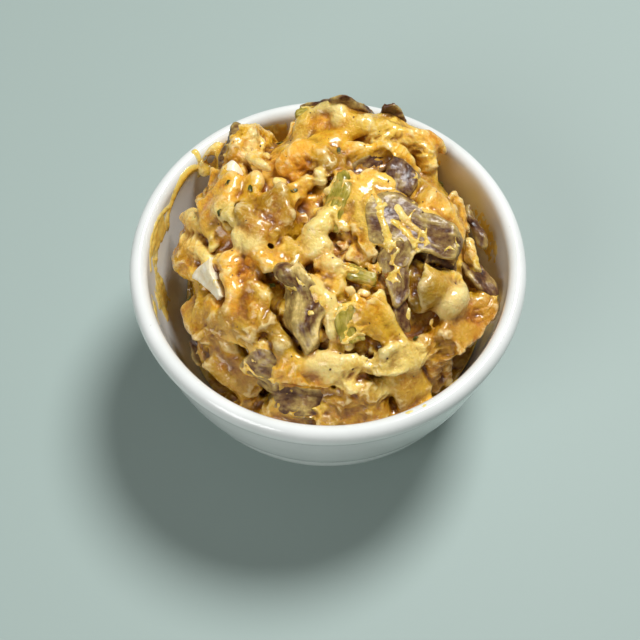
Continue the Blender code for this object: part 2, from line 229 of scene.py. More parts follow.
def smoothRun(keys, steps):
    # points along a smooth curve through the keys
    run = []
    for i in range(len(keys) - 1):
        a, b = keys[max(i - 1, 0)], keys[i]
        c, d = keys[i + 1], keys[min(i + 2, len(keys) - 1)]
        for step in range(steps):
            t = step / steps
            run.append(tuple(
                0.5 * (2 * q + (r - p) * t + (2 * p - 5 * q + 4 * r - s) * t * t
                       + (3 * q - p - 3 * r + s) * t ** 3)
                for p, q, r, s in zip(a, b, c, d)))
    run.append(tuple(keys[-1]))
    return run


insideRun = smoothRun(bowl["inside"], bowl["steps"])
insideRun.append((bowl["rimRadius"] - 2 * bowl["rimHalfWidth"], bowl["height"] - bowl["rimHalfHeight"]))
wallRadii, wallHeights = np.array(insideRun).T


def wallRadius(z):
    return np.interp(z, wallHeights, wallRadii)


def rimArc(last, step):
    # the rim as radius and height, from its inner side over the top to an angle (degrees)
    wide, high = bowl["rimHalfWidth"], bowl["rimHalfHeight"]
    turns = [headed(angle) for angle in range(170, last, -step)]
    return [(bowl["rimRadius"] - wide + wide * out, bowl["height"] - high + high * up) for out, up in turns]


def makeGlaze():
    glaze = Recipe("white glaze", Roughness=0.12, IOR=1.5, Coat_Weight=0.3, Coat_Roughness=0.05)
    cloud = glaze.noise(14, 4)
    shade = glaze.ramp(cloud, (0.3, 228, 232, 229), (0.7, 238, 241, 239))
    pinholes = glaze.between(glaze.noise(0.9, 2), 0.74, 0.80)
    glaze.use(Base_Color=glaze.mixed(pinholes, shade, tone(196, 196, 186)))
    glaze.bump(glaze.noise(5, 3), 0.10, 0.35)
    return glaze.material


def turnBowl():
    foot, ring = bowl["footRadius"], bowl["footRadius"] - bowl["footRing"]
    under = [(foot + out, up) for out, up in bowl["footEdge"]]
    under += [(ring + out, up) for out, up in bowl["ringEdge"]]
    under += [(ring - bowl["recessSlope"], bowl["recess"]), (0.0, bowl["recess"])]
    outline = (insideRun + rimArc(-50, 10) + smoothRun(bowl["outside"], bowl["steps"])
               + smoothRun(bowl["belly"], bowl["steps"]) + under)
    mesh = bpy.data.meshes.new("turnedBowl")
    mesh.from_pydata([(r * mm, 0, z * mm) for r, z in outline],
                     [(i, i + 1) for i in range(len(outline) - 1)], [])
    thing = newObject("turnedBowl", mesh)
    screw = thing.modifiers.new("turned", "SCREW")
    screw.axis = "Z"
    screw.steps = screw.render_steps = bowl["turns"]
    screw.use_merge_vertices = True
    screw.merge_threshold = bowl["weld"] * mm
    screw.use_normal_calculate = True
    screw.use_smooth_shade = True
    applyModifiers(thing).materials.append(makeGlaze())
    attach(thing, "root")
    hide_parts("bowl")


turnBowl()
print("bowl is turned and glazed")


dome = {
    "centre": (1.5, 4.5), "radius": 43.5, "top": 67.5, "topSlope": 0.16,
    "edge": 43.0, "edgeSlope": 0.25, "fullness": 3.4, "shoulder": 0.55,
    # height of the salad against the wall by compass angle
    "fill": [(0, 35.0), (35, 34.0), (60, 42.0), (90, 50.0), (108, 42.0), (128, 40.0), (155, 30.0),
             (180, 24.0), (215, 24.0), (245, 32.0), (270, 39.0), (295, 36.0), (325, 28.0), (360, 35.0)],
}
heap = {
    "step": 0.38, "low": (-50.6, -50.6, 5.0), "high": (50.6, 50.6, 79.0),
    "coreDepth": 3.8, "coreInset": 2.5,     # how far the core lies inside the dome
    "sink": 1.0,                            # and the pieces below their places
    "wallGap": 0.35,                        # between the salad and the bowl
    "hiddenShare": 0.06,                    # faces kept where the bowl hides the salad
    "mostTriangles": 196000, "scrap": 200,  # the least points in a shell of a bare piece
    "far": 3.0,                             # distances are kept up to this on the grid
    "soak": 0.45,                           # how deep a piece still gives the surface its look
    # how softly pieces run into their neighbours, and the salad into the bowl
    "blend": {"block": 2.2, "lump": 2.0, "strand": 1.8, "flap": 0.5, "crumb": 1.0, "core": 2.0,
              "bare": 0.3, "gap": 0.8, "bowl": 0.6},
    "askew": 0.20, "bow": 0.11,             # how blocks tip, and how their faces bow
    "cutFrom": 0.60, "cutTo": 0.78,         # where corners come off, as a share of the block
    "narrowest": 0.3, "widest": 2.0,        # the limits of a tapered piece, as a share of its width
}


def domeHeight(x, y, inset=0.0):
    reach = np.hypot(x - dome["centre"][0], y - dome["centre"][1]) / (dome["radius"] - inset)
    reach = np.minimum(reach, 1.0)
    top = dome["top"] + dome["topSlope"] * y
    edge = dome["edge"] + dome["edgeSlope"] * y
    return edge + (top - edge) * (1 - reach ** dome["fullness"]) ** dome["shoulder"]


def fillLevel(x, y):
    angles, levels = zip(*dome["fill"])
    return np.interp(np.degrees(np.arctan2(y, x)) % 360, angles, levels)


# Kinds of surface: their own colour, how much of it dressing covers (0 to 1), and how deep
# the soft folds and the small crumbs on it are (mm). A kind with mesh is a mesh of its own,
# and film is how much of a skin a thin film clouds.
finishes = {
    "potato": dict(tint=tone(242, 198, 68), coat=0.36, folds=0.85, crumb=0.12),
    "golden": dict(tint=tone(196, 160, 52), coat=0.40, folds=0.85, crumb=0.12),
    "peach": dict(tint=tone(255, 208, 96), coat=0.22, folds=0.60, crumb=0.07),
    "cream": dict(tint=tone(255, 226, 126), coat=0.16, folds=0.75, crumb=0.07),
    "pale": dict(tint=tone(255, 242, 192), coat=0.03, folds=0.75, crumb=0.07),
    "dressing": dict(tint=tone(212, 152, 26), coat=1.00, folds=0.90, crumb=0.10),
    "sauce": dict(tint=tone(255, 210, 76), coat=0.38, folds=0.42, crumb=0.03),
    "orange": dict(tint=tone(206, 164, 64), coat=0.30, folds=0.80, crumb=0.16),
    "olive": dict(tint=tone(190, 162, 62), coat=0.16, folds=0.75, crumb=0.06),
    "celery": dict(mesh="celery", coat=0.40, folds=0.42, crumb=0.14),
    "egg": dict(mesh="egg", coat=0.10, folds=0.22, crumb=0.08),
    "skin": dict(mesh="skin", coat=0.24, film=0.32, folds=0.40, crumb=0.10),
    "darkSkin": dict(mesh="skin", coat=0.04, film=0.06, folds=0.40, crumb=0.10),
    "paleSkin": dict(mesh="skin", coat=0.16, film=0.60, folds=0.42, crumb=0.12),
    # what lies on the kinds with a mesh of their own
    "smear": dict(tint=tone(255, 226, 126), coat=0.30, folds=0.20, crumb=0.05),
}


def lay(finish, at, size, turn, **more):
    # the seed keeps a piece's shape when others come or go
    return dict(finish=finish, at=at, size=size, turn=turn, seed=round(7 * (at[0] + 60) + 3 * (at[1] + 60)),
                **more)


# Pieces laid where they show (mm). at is the place from above and up the height of the middle
# over the dome (or z the height itself), size is length, width and thickness, turn swings the
# length round the upright and lean tips the piece out with the dome (0 upright, 1 square to it).
# Blocks are cut pieces with a number of corners cut off and their edges rounded; peak narrows
# them to the top, nose to one end and kite to both. Lumps are rounded.
blocks = [
    lay("potato", (-23.6, 34), (13, 14, 15), 10, z=60.4, lean=0, peak=0.5),
    lay("potato", (-28, 30), (13, 9, 9), 20, z=51.5, lean=0.4),
    lay("peach", (-27.5, 12.5), (15, 13, 9), 20, up=-2.4),
    lay("potato", (-30.5, 22.5), (11, 9, 9), 55, up=-1.6, lean=0.7),
    lay("egg", (-27.6, 21.6), (8, 6.5, 5), 65, up=1.3, edge=0.5, cuts=4, nose=0.4),
    lay("golden", (-15, 8), (15, 13, 9.5), 25, up=-0.8, cuts=1, edge=2.4),
    lay("potato", (-15, -4.5), (9.5, 8, 8), 30, up=-1.5),
    lay("potato", (8.8, 4), (19, 6, 6), 99, up=-1),
    lay("cream", (11.4, 15.5), (11, 11, 8), -35, up=-0.9, cuts=1, edge=2.6),
    lay("darkSkin", (20.4, 19.4), (13, 9, 8), 70, up=-1),
    lay("darkSkin", (13.5, 23.5), (13, 6, 7), 6, up=-2.2),
    lay("orange", (24.5, 17), (6, 4.5, 4), 35, up=-0.8),
    lay("peach", (32, 10.5), (14, 13, 10), -20, up=-2, lean=0.8),
    lay("skin", (22.5, 3.4), (25, 14, 10), -16, up=-1.6, cuts=2, nose=0.3),
    lay("darkSkin", (42, -4), (11, 7, 7), -72, up=0, lean=0.6),
    lay("orange", (37, -16), (27, 9, 10), 44, up=0.8, lean=0.8),
    lay("pale", (19, -29.5), (14.5, 9, 6.5), 10, up=2, lean=0.8, cuts=4),
    lay("potato", (14.2, -22), (16, 9, 7), -52, up=-1.8),
    lay("celery", (5.5, -22), (11.5, 7, 5.5), -72, up=-0.1, cuts=1, edge=0.5),
    lay("paleSkin", (-7.5, -18), (22, 10.5, 9), -80, up=-0.8, cuts=2, kite=0.75, edge=0.5),
    lay("celery", (9.5, -9.8), (9, 5, 4.5), -5, up=-0.5, edge=0.6),
    lay("egg", (-31.8, -8.3), (10.5, 6.6, 5), -58, up=0.6, lean=0.9, cuts=1, edge=0.3, nose=0.75),
    lay("golden", (-34.2, -13.5), (16, 10, 11), -62, up=-2.2, lean=0.7, cuts=1, edge=2.4),
    lay("golden", (-20, -17), (15, 12, 9), -60, up=-1.8, cuts=1, edge=2.4),
    lay("olive", (-24.5, -20.5), (11, 6, 5), -55, up=0.4, lean=0.8),
    lay("darkSkin", (-35, -20), (9, 6, 8), -50, z=39.5, lean=0.5),
    lay("golden", (-26.5, -26), (17, 10, 12), -44, z=42, lean=0.5, cuts=1, edge=2.4),
    lay("skin", (-16, -30.5), (13, 8, 7), -32, up=1, lean=0.8),
    lay("potato", (-5, -31.5), (15, 9, 8), -4, up=-0.6, lean=0.8),
    lay("potato", (-1, -13.5), (13, 9, 7), 10, up=-2.2),
    # at the bottom of the gap along the front wall, and against the back wall
    lay("skin", (-9, -37), (16, 8, 8), -12, z=41.6, lean=0.5, cuts=2),
    lay("golden", (8, -37.5), (15, 8, 8), 8, z=43.5, lean=0.5),
    lay("golden", (22, -32.5), (13, 9, 9), 30, z=42, lean=0.5, cuts=1, edge=2),
    lay("golden", (-12, -41), (13, 8, 9), -16, z=37.5, lean=0.5),
    lay("golden", (0, -42), (9, 8, 9), 5, z=38.5, lean=0.5),
    lay("golden", (10, -41.5), (12, 8, 8), 12, z=38.5, lean=0.5),
    lay("potato", (22, -37.5), (13, 8, 9), 28, z=36, lean=0.5, cuts=1, edge=2),
    lay("potato", (-21, -37), (12, 8, 8), -34, z=34.5, lean=0.5),
    lay("darkSkin", (5.4, 44.6), (12, 2.2, 9.5), -5, z=69.8, lean=0, edge=0.3, peak=0.75, cuts=1),
    lay("darkSkin", (17.6, 42.6), (7.5, 2.2, 7.8), 2, z=67.4, lean=0, edge=0.3, peak=0.4, cuts=1),
    lay("sauce", (3, 40), (28, 14, 18), 0, z=52.5, lean=0),
    lay("sauce", (21, 35), (16, 14, 18), -28, z=52, lean=0),
]

lumps = [
    lay("peach", (-8.5, 26.4), (13, 9, 8), 12, up=-1),
    lay("potato", (-1.8, 26.6), (10, 9, 7), -10, up=-1),
    lay("olive", (27.4, -11.2), (14, 12, 11), 60, up=-0.8),
    lay("cream", (30, -10.4), (7, 3.6, 3.6), -20, up=3),
    lay("olive", (25.6, -13.2), (6.5, 3.4, 4), 50, up=3),
    lay("pale", (-1.5, -31), (13, 6.5, 6), -6, up=1, lean=0.6),
    lay("pale", (8.6, -31.4), (12, 6, 6), 8, up=1.2, lean=0.6),
    lay("pale", (-27.4, 8.2), (11, 5.4, 4.4), -48, up=1.5),
    lay("celery", (3.2, 12.5), (21, 7.5, 7), 80, up=-0.1),
    lay("cream", (-3.5, 39.8), (15, 12, 13), 0, z=62.3, lean=0),
    lay("sauce", (5.5, 40.2), (16, 12.5, 13.5), 10, z=63.8, lean=0),
    lay("cream", (14.5, 37.8), (16, 13, 12.5), -10, z=63.5, lean=0),
    lay("cream", (22.5, 35.2), (14, 12, 12), -30, z=61, lean=0),
    lay("sauce", (28.2, 34), (9, 9, 13), -45, z=58.5, lean=0),
    lay("sauce", (0, 32), (13, 8, 7), 10, up=-1.2),
    lay("pale", (33.8, -13.6), (12, 10.5, 9), 72, up=2.3, lean=0.7),
    lay("golden", (-38, 5), (17, 11, 10), -52, z=49.8, lean=0.8),
    lay("pale", (-22.6, -0.4), (10.5, 6.5, 5), -18, up=1.2),
    lay("cream", (-7, 17), (4.6, 4.2, 3.6), 0, up=0.2),
    lay("pale", (-2.4, 18.6), (4.4, 4.8, 4), 0, up=0.5),
    lay("cream", (-11, 15.6), (6.5, 4.4, 3.6), 20, up=0.2),
    lay("potato", (-8.6, 12.6), (5, 3.6, 3), 40, up=-0.3),
    lay("olive", (1.6, 24), (10, 8.5, 6.5), 0, up=-0.6),
    lay("pale", (-2.5, -3), (7.5, 5.5, 5), 40, up=0.4),
    lay("pale", (1.8, -7.6), (8, 5.5, 5), -20, up=0.2),
    lay("celery", (-6.5, -3.5), (8, 6, 5), 0, up=-1),
    lay("celery", (-6.6, 43.5), (6, 4.5, 5), 0, z=66, lean=0),
    lay("peach", (37, 23), (6, 4, 3.4), -20, up=1, lean=0.4),
    lay("cream", (22.6, 22.4), (6.5, 3, 3), -52, up=-0.4),
    lay("pale", (2.7, -32.5), (7, 4.5, 4), 10, up=1.4, lean=0.8),
    lay("cream", (17, 37), (12, 6, 5), -24, z=66.2, lean=0),
    lay("potato", (-8.5, -30.4), (12, 4.4, 4), -14, up=1.2, lean=0.8),
    lay("potato", (-17, -21), (11, 4.4, 4), -60, up=1.2),
    lay("peach", (-20.5, 3), (7, 5, 4), 35, up=0.6),
]

# Curled sheets of potato skin. curl bends them along and across, wave ripples them and taper
# widens one end.
flaps = [
    lay("skin", (20.4, -10.6), (17, 12, 1.3), -104, up=2, curl=(0.3, -1.5), wave=0.3, taper=-0.78),
    lay("darkSkin", (31, -3.6), (13, 7, 1.2), -6, up=1.4, curl=(-1, -1.6), wave=0.4),
    lay("darkSkin", (42.6, 12.4), (15, 3.4, 1.1), -64, z=55, lean=0.9, curl=(0.4, -1), wave=0.3),
    lay("darkSkin", (20.6, -20), (9, 5, 1.6), -62, up=1.4, curl=(-0.8, -1.2), wave=0.4),
]


def ropeAt(finish, thick, *stops):
    # a strand that swells and thins on its way through stops: x, y and height
    run = smoothRun(stops, 4)
    path = []
    for i, place in enumerate(run):
        share = i / (len(run) - 1)
        swell = 0.70 + 0.30 * math.sin(math.pi * (0.12 + 0.76 * share))
        wobble = 1 + 0.07 * math.sin(2.3 * i + stops[0][0])
        path.append((np.array(place, np.float32), thick * swell * wobble))
    return dict(finish=finish, path=path)


def rope(finish, thick, *stops):
    # a strand with its heights over the dome
    heights = [up + (float(domeHeight(x, y)) - heap["sink"]) for x, y, up in stops]
    return ropeAt(finish, thick, *((x, y, height) for (x, y, _), height in zip(stops, heights)))


strands = [
    # back left: the loop, the skin along the ridge, and ridges on the face
    ropeAt("cream", 1.9, (-36.8, 32.5, 53.5), (-36, 34.8, 57), (-32.8, 37.5, 58), (-30, 35, 57),
           (-29.3, 31.5, 55.5)),
    ropeAt("darkSkin", 0.9, (-28.6, 26, 60), (-25, 24.8, 60.6), (-19.4, 24, 61.4)),
    ropeAt("skin", 2.6, (-26, 38, 66), (-27, 35, 64.6), (-28.2, 32.2, 62.2), (-29.4, 29.6, 59.4)),
    ropeAt("pale", 1.1, (-22, 35.4, 67.2), (-22.4, 31.4, 65.2), (-23, 27.6, 61.8)),
    ropeAt("cream", 1, (-19.4, 35, 65.6), (-19.4, 31, 63.8), (-20.2, 27.4, 61)),
    ropeAt("pale", 3, (-40.8, 17.4, 51.2), (-37.4, 12.8, 55), (-32.4, 8.2, 59)),
    ropeAt("pale", 2.2, (-42.6, 14, 48.6), (-40, 9, 52), (-36.6, 4, 55.4), (-32.4, -2.2, 58)),
    ropeAt("cream", 1.7, (-43.6, 10, 44.8), (-42.6, 5.4, 46), (-39.3, -1, 50), (-34.8, -4.5, 54.6)),
    rope("cream", 2.1, (-19.5, 8, 0.8), (-18.5, 4, 1.2), (-16.4, 2, 0.8)),
    rope("potato", 1.5, (-19, 13.5, 1), (-13.5, 11, 1.4), (-9, 12.5, 0.6)),
    rope("pale", 2.5, (2, 9.5, 0.8), (-1, 4.5, 1.2), (-3.6, 1.5, 0.9), (-5.6, -1, 0.2)),
    rope("cream", 1.2, (6.5, 20, 0.8), (8.5, 11, 1.4), (10, 3, 1.2), (10.5, -4, 0.6)),
    rope("orange", 1.1, (11.6, 9, 0.4), (12.4, 3, 0.2), (12.8, -4, 0)),
    # back: folds over the main mass, its lower lobe and the sheet that hangs from its shoulder
    ropeAt("pale", 1.9, (-4, 42, 67), (0, 43.5, 68.6), (4, 42, 69.4), (2.5, 38.5, 69)),
    ropeAt("cream", 2.1, (7, 38.5, 69), (12, 37.6, 69), (16, 37.4, 68.2)),
    ropeAt("cream", 1.5, (18, 36, 67.4), (22, 36.4, 66.8), (27, 35.6, 65)),
    ropeAt("sauce", 1.3, (-6, 39, 67.2), (-3.4, 38, 68), (-1.6, 39.6, 68.4)),
    ropeAt("sauce", 1.6, (-3, 36, 66.4), (3, 35.4, 67.6), (8, 35.6, 68)),
    rope("sauce", 2.7, (13.6, 28.4, 0.4), (18, 27.6, 1.4), (23, 26, 0.4)),
    rope("sauce", 1.8, (4, 30.4, 0), (7.5, 28.8, 0.6), (10.5, 27.8, 0.2)),
    ropeAt("cream", 2.3, (28.4, 35, 63.5), (28.6, 31, 63.5), (29.2, 28.5, 61), (29.6, 26, 57)),
    ropeAt("sauce", 1, (29.6, 26, 58.5), (29.2, 23, 57), (28.6, 20.6, 57)),
    ropeAt("sauce", 1.3, (28.6, 37.6, 64.6), (31.8, 36.4, 63.2), (34.4, 34.6, 60.4)),
    rope("celery", 1, (15, 25, -0.4), (17.2, 23.6, 0.6), (18.4, 20.6, 0.2)),
    # right: cream rims of the peach potato, the hanging scraps, smears on the skin
    rope("cream", 1.8, (27.6, 17, -0.2), (26.8, 11.5, 0.4), (29.4, 6, 0.4), (34.6, 1.6, 0.8)),
    rope("peach", 1.7, (29, 16, 0.2), (33, 17.4, 1), (37.2, 15, 1.4), (38.8, 9, 1.8)),
    rope("peach", 0.9, (33.5, 22.4, 1), (36, 21.6, 1.4), (38.8, 19.6, 1.8)),
    ropeAt("cream", 1.5, (39.5, 7, 56), (41.5, 2.5, 54.5), (42.5, -0.5, 53)),
    ropeAt("sauce", 1.5, (44.2, 16, 51), (45.6, 10.5, 51), (45.2, 4.5, 49.5)),
    rope("darkSkin", 1.5, (16.5, 13, 1.4), (21.5, 10.2, 1.8), (26.5, 6.6, 1.8), (32.4, 2.2, 1.6)),
    rope("cream", 0.9, (14.8, 10, 2.4), (14.9, 3.5, 2.7), (16.8, -4.6, 2)),
    rope("pale", 0.7, (19.4, 8.4, 3.3), (22.4, 3.6, 3.6), (27.4, 0, 3)),
    rope("cream", 0.6, (18, 3.4, 3.4), (21.4, 0, 3.4), (24.6, -4.4, 2.4)),
    rope("cream", 1.7, (27, -8.5, 1.4), (31, -7.8, 1.8), (36, -6.8, 1.8)),
    rope("orange", 2.6, (27, -24, 1.4), (29, -27, 2), (29.5, -30.5, 2.6)),
    rope("orange", 2.1, (31, -23, 2.2), (33.4, -26, 3), (33, -29, 2.4)),
    rope("potato", 1.7, (33, -22, 2.4), (38, -17, 3.4), (43, -11, 3.8)),
    # front: the ledge, the smeared face beside the celery and the lumps under the wedge
    rope("pale", 2.5, (-0.5, -33, 1.6), (7, -35, 2.2), (15, -34.5, 2.8), (22.5, -32, 2.2)),
    rope("cream", 2, (9, -32, 0.6), (15, -30, 1.4), (22, -28, 2)),
    rope("potato", 1.3, (7, -16, 0), (12.5, -22, 0.8), (19.5, -29, 0.8)),
    rope("cream", 1.2, (12, -14, 0.4), (17, -20, 0.9), (22, -27, 1.2)),
    rope("pale", 1.8, (-5, -12.6, 1.8), (-2.5, -16, 1.8), (0.8, -20.5, 1.4), (1.4, -26, 0.9)),
    rope("darkSkin", 2.3, (-12.4, -8.6, 2.2), (-10.4, -11.4, 2.9), (-8.8, -13.4, 2.7)),
    rope("darkSkin", 1.3, (-4.4, -15.5, 2.6), (-2.8, -19.5, 2.4), (-4.6, -23.5, 2.6), (-7, -27, 2)),
    rope("peach", 2.3, (-27.4, -4.4, 1.8), (-27.2, -9, 2.7), (-26.2, -14, 2.5), (-25.4, -19, 1.6)),
    rope("peach", 2.3, (-29.5, -3.4, 0.9), (-26.5, -4.2, 1.4), (-24.6, -6.4, 0.8)),
    rope("olive", 2.7, (-16, -21.5, 0.9), (-13.6, -26, 1.7), (-10, -31, 2.1)),
    rope("cream", 1.2, (-24, -11, 0.8), (-20, -13, 1.2), (-17, -16, 1)),
    rope("potato", 1.3, (-23, -14, 0.8), (-20, -18, 1.3), (-18, -23, 1)),
    rope("cream", 1.5, (-28, -21, 1.8), (-23, -24.5, 2.2), (-18, -26.5, 2)),
    ropeAt("golden", 1.9, (-36.6, -8, 53.5), (-34.6, -14, 52.5), (-30.5, -20, 51.5), (-27, -25.5, 49)),
    ropeAt("potato", 1.6, (-33, -12, 55.5), (-30.2, -17, 55), (-25.5, -21, 54.5), (-21, -26.5, 52.5)),
    ropeAt("potato", 1.9, (-38.6, -9, 48.5), (-38, -15, 45), (-34.5, -21.6, 43)),
    ropeAt("potato", 2.1, (-31, -24.5, 44.5), (-26.5, -29.5, 43.5), (-20.5, -33.5, 42)),
    ropeAt("skin", 2.2, (-20, -31.5, 44.5), (-12, -34.8, 45.5), (-3, -36, 46.3)),
    rope("golden", 1.5, (-12, 0, 0), (-8.6, -4.4, 0.2), (-8, -8.4, 0)),
    rope("potato", 2, (-21, 0, -0.4), (-20, -6, -0.2), (-22, -11, -0.2)),
    rope("potato", 2.2, (-20, 21, -0.6), (-22, 16, 0), (-22, 9, -0.4)),
    rope("cream", 1.5, (-22, 27.5, 0.8), (-19, 25, 1.2), (-16.6, 23, 0.8)),
]

# Dark gaps pressed in between the pieces.
gaps = [
    rope("gap", 2.7, (8.6, 22, 1), (12.5, 23.6, 1.4), (17, 24.2, 1.2)),
    rope("gap", 2.3, (28.4, 18.2, 0.2), (31, 18.6, 0.4), (33.2, 18, 0.4)),
    rope("gap", 1.5, (-13.4, 21, 0.6), (-11.4, 20.6, 0.6)),
    rope("gap", 2.1, (25.3, -4.5, 1.4), (24.2, -10, 1.2), (23, -15.5, 1)),
    rope("gap", 1.5, (23.2, -16.2, 1), (25, -19.5, 0.8)),
    rope("gap", 1.2, (12.4, 6, 1), (12.9, 0, 1), (12.8, -4, 0.6)),
    rope("gap", 1.5, (7.5, -13.4, 0.2), (12, -13.6, 0.4)),
    ropeAt("gap", 1.4, (-34.8, 33.6, 56.5), (-32.8, 33.8, 56.5)),
    rope("gap", 1.3, (-20.2, 0.2, 0.2), (-16.5, -1.2, 0.2)),
    rope("gap", 1.2, (-16, -10.5, 0.6), (-14.2, -14, 0.8), (-14.6, -20, 0.8)),
    rope("gap", 1.5, (8, -30.4, 0.8), (12, -30.2, 1.2)),
    ropeAt("gap", 1.5, (-13, -37, 48), (-4, -38.2, 48.4), (6, -38.2, 48.2)),
    rope("gap", 1.2, (29.6, -6.4, 1.4), (31.6, -6.8, 1.4)),
    rope("gap", 1.2, (3.6, -1.4, 0.8), (3, -4.4, 0.6)),
    rope("gap", 1.3, (-27, -2, 0.2), (-25.5, -2.4, 0.4)),
    rope("gap", 1.2, (19.5, 13.4, -0.4), (21.4, 11, 0)),
    rope("gap", 1.3, (-7.4, 10.5, 0.6), (-6.6, 5.5, 0.8), (-9.5, 1, 0.8)),
    rope("gap", 1.3, (-28.6, 5, 0.6), (-25.8, 7, 0.8), (-24.4, 11, 0.6)),
    rope("gap", 1.4, (-22, -22, 1.4), (-19.6, -26.8, 1.8), (-20.4, -30, 1.8)),
    rope("gap", 1.2, (7.5, -27, 0.6), (13.4, -27.4, 0.8)),
    rope("gap", 1.3, (-15.6, 28.2, 0.4), (-12.6, 30.4, 0.6), (-8.4, 31.4, 0.6)),
]

# Bits under the dressing between the pieces, and globs on top of them.
crumbs = [
    dict(count=210, seed=5, largest=2.1, smallest=0.8, low=-2.1, high=-0.3, backTo=31.0,
         finishes=("dressing", "cream", "potato", "dressing", "orange")),
    dict(count=100, seed=6, largest=1.8, smallest=0.7, low=0.0, high=1.3, backTo=24.0,
         finishes=("cream", "potato", "cream", "dressing", "peach")),
]


def churn(points, size, seed):
    # soft random hills of about the given size (mm), between -1 and 1
    draw = np.random.default_rng(seed)
    count = 32
    slopes = draw.normal(size=(count, count, count, 3))
    slopes = (slopes / np.linalg.norm(slopes, axis=-1, keepdims=True)).astype(np.float32)
    cell = points / size
    base = np.floor(cell).astype(np.int64)
    part = (cell - base).astype(np.float32)
    ease = part ** 3 * (part * (part * 6 - 15) + 10)
    total = np.zeros(len(points), np.float32)
    for corner in np.ndindex(2, 2, 2):
        corner = np.array(corner)
        slope = slopes[tuple(((base + corner) % count).T)]
        weight = np.where(corner, ease, 1 - ease).prod(axis=1)
        total += weight * (slope * (part - corner)).sum(axis=1)
    return total * 1.6


def drifting(points, size, seed, reach):
    # how far soft random currents carry each point
    return np.stack([churn(points, size, seed + axis) for axis in range(3)], axis=1) * reach


def domeOutward(x, y, lean):
    # the way out of the dome, kept off the level on its steep sides and eased by lean
    step, steepest = 1.2, 1.1
    across = (domeHeight(x + step, y) - domeHeight(x - step, y)) / (2 * step)
    along = (domeHeight(x, y + step) - domeHeight(x, y - step)) / (2 * step)
    ease = min(1.0, steepest / max(math.hypot(across, along), 0.01))
    return Vector((-across * ease * lean, -along * ease * lean, 1.0)).normalized()


def axesAlong(turn, out):
    # length, width and outward way of something that lies square to out
    heading = Vector((*headed(turn), 0))
    length = (heading - out * heading.dot(out)).normalized()
    return length, out.cross(length), out


def lie(piece):
    # a piece's middle and axes, lying on the dome
    x, y = piece["at"]
    out = domeOutward(x, y, piece.get("lean", 1.0))
    if "askew" in piece:
        tips = math.sin(2.1 * piece["seed"]), math.sin(3.3 * piece["seed"] + 1)
        out += Vector((piece["askew"] * tips[0], piece["askew"] * tips[1], 0))
        out.normalize()
    height = piece["z"] if "z" in piece else float(domeHeight(x, y)) + piece["up"] - heap["sink"]
    return np.array((x, y, height), np.float32), np.array(axesAlong(piece["turn"], out), np.float32)


def softMin(a, b, blend):
    mix = np.maximum(blend - np.abs(a - b), 0) / blend
    return np.minimum(a, b) - mix * mix * blend / 4


def softMax(a, b, blend):
    return -softMin(-a, -b, blend)


def bent(points):
    # the slow bends that make every piece uneven
    x, y, z = points.T
    return np.stack([
        x + 0.6 * np.sin(y / 2.9 + z / 4.1 + 1.0) + 0.22 * np.sin(y / 1.4 - z / 1.9 + 2.0),
        y + 0.6 * np.sin(z / 3.3 + x / 3.7 + 4.0) + 0.22 * np.sin(z / 1.6 - x / 1.5 + 0.5),
        z + 0.5 * np.sin(x / 3.1 + y / 3.9 + 5.5) + 0.18 * np.sin(x / 1.6 - y / 1.3 + 3.0)], axis=1)


def ownPlace(piece, points):
    # points in the piece's own frame, and half its size
    middle, axes = lie(piece)
    return (bent(points) - middle) @ axes.T, np.array(piece["size"], np.float32) / 2


def tapered(share):
    return np.clip(share, heap["narrowest"], heap["widest"])


def blockDistance(piece, points):
    # a cut block with rounded edges, bowed faces and some corners off
    local, half = ownPlace(piece, points)
    if "peak" in piece:
        local[:, :2] /= tapered(1 - piece["peak"] * local[:, 2:] / half[2])
    if "nose" in piece:
        local[:, 1] /= tapered(1 - piece["nose"] * local[:, 0] / half[0])
    if "kite" in piece:
        local[:, 1] /= tapered(1.2 - piece["kite"] * np.abs(local[:, 0]) / half[0])
    draw = np.random.default_rng(piece["seed"])
    phase = draw.uniform(0, 6.28, 6)
    u, v, w = (local / half * 1.5).T
    bow = np.stack([np.sin(v + phase[0]) + np.sin(w * 1.3 + phase[1]),
                    np.sin(u + phase[2]) + np.sin(w * 1.2 + phase[3]),
                    np.sin(u * 1.4 + phase[4]) + np.sin(v + phase[5])], axis=1)
    local = (local + bow * half * heap["bow"]).astype(np.float32)
    edge = min(piece.get("edge", 1.0), half.min() * 0.8)
    past = np.abs(local) - (half - edge)
    distance = np.linalg.norm(np.maximum(past, 0), axis=1) + np.minimum(past.max(axis=1), 0) - edge
    for _ in range(piece.get("cuts", 3)):
        facing = draw.normal(size=3)
        facing /= np.linalg.norm(facing)
        reach = np.abs(facing * half).sum() * draw.uniform(heap["cutFrom"], heap["cutTo"])
        distance = softMax(distance, local @ facing.astype(np.float32) - reach, 1.5)
    return distance


def lumpDistance(piece, points):
    local, half = ownPlace(piece, points)
    near = np.linalg.norm(local / half, axis=1)
    slope = np.linalg.norm(local / (half * half), axis=1)
    return near * (near - 1) / np.maximum(slope, 1e-6)


def ropeDistance(piece, points):
    distance = None
    points = bent(points)
    for (a, ra), (b, rb) in zip(piece["path"], piece["path"][1:]):
        along = b - a
        share = np.clip(((points - a) @ along) / max(float(along @ along), 1e-6), 0, 1)
        away = np.linalg.norm(points - a - share[:, None] * along, axis=1) - (ra + (rb - ra) * share)
        distance = away if distance is None else softMin(distance, away, 0.5)
    return distance


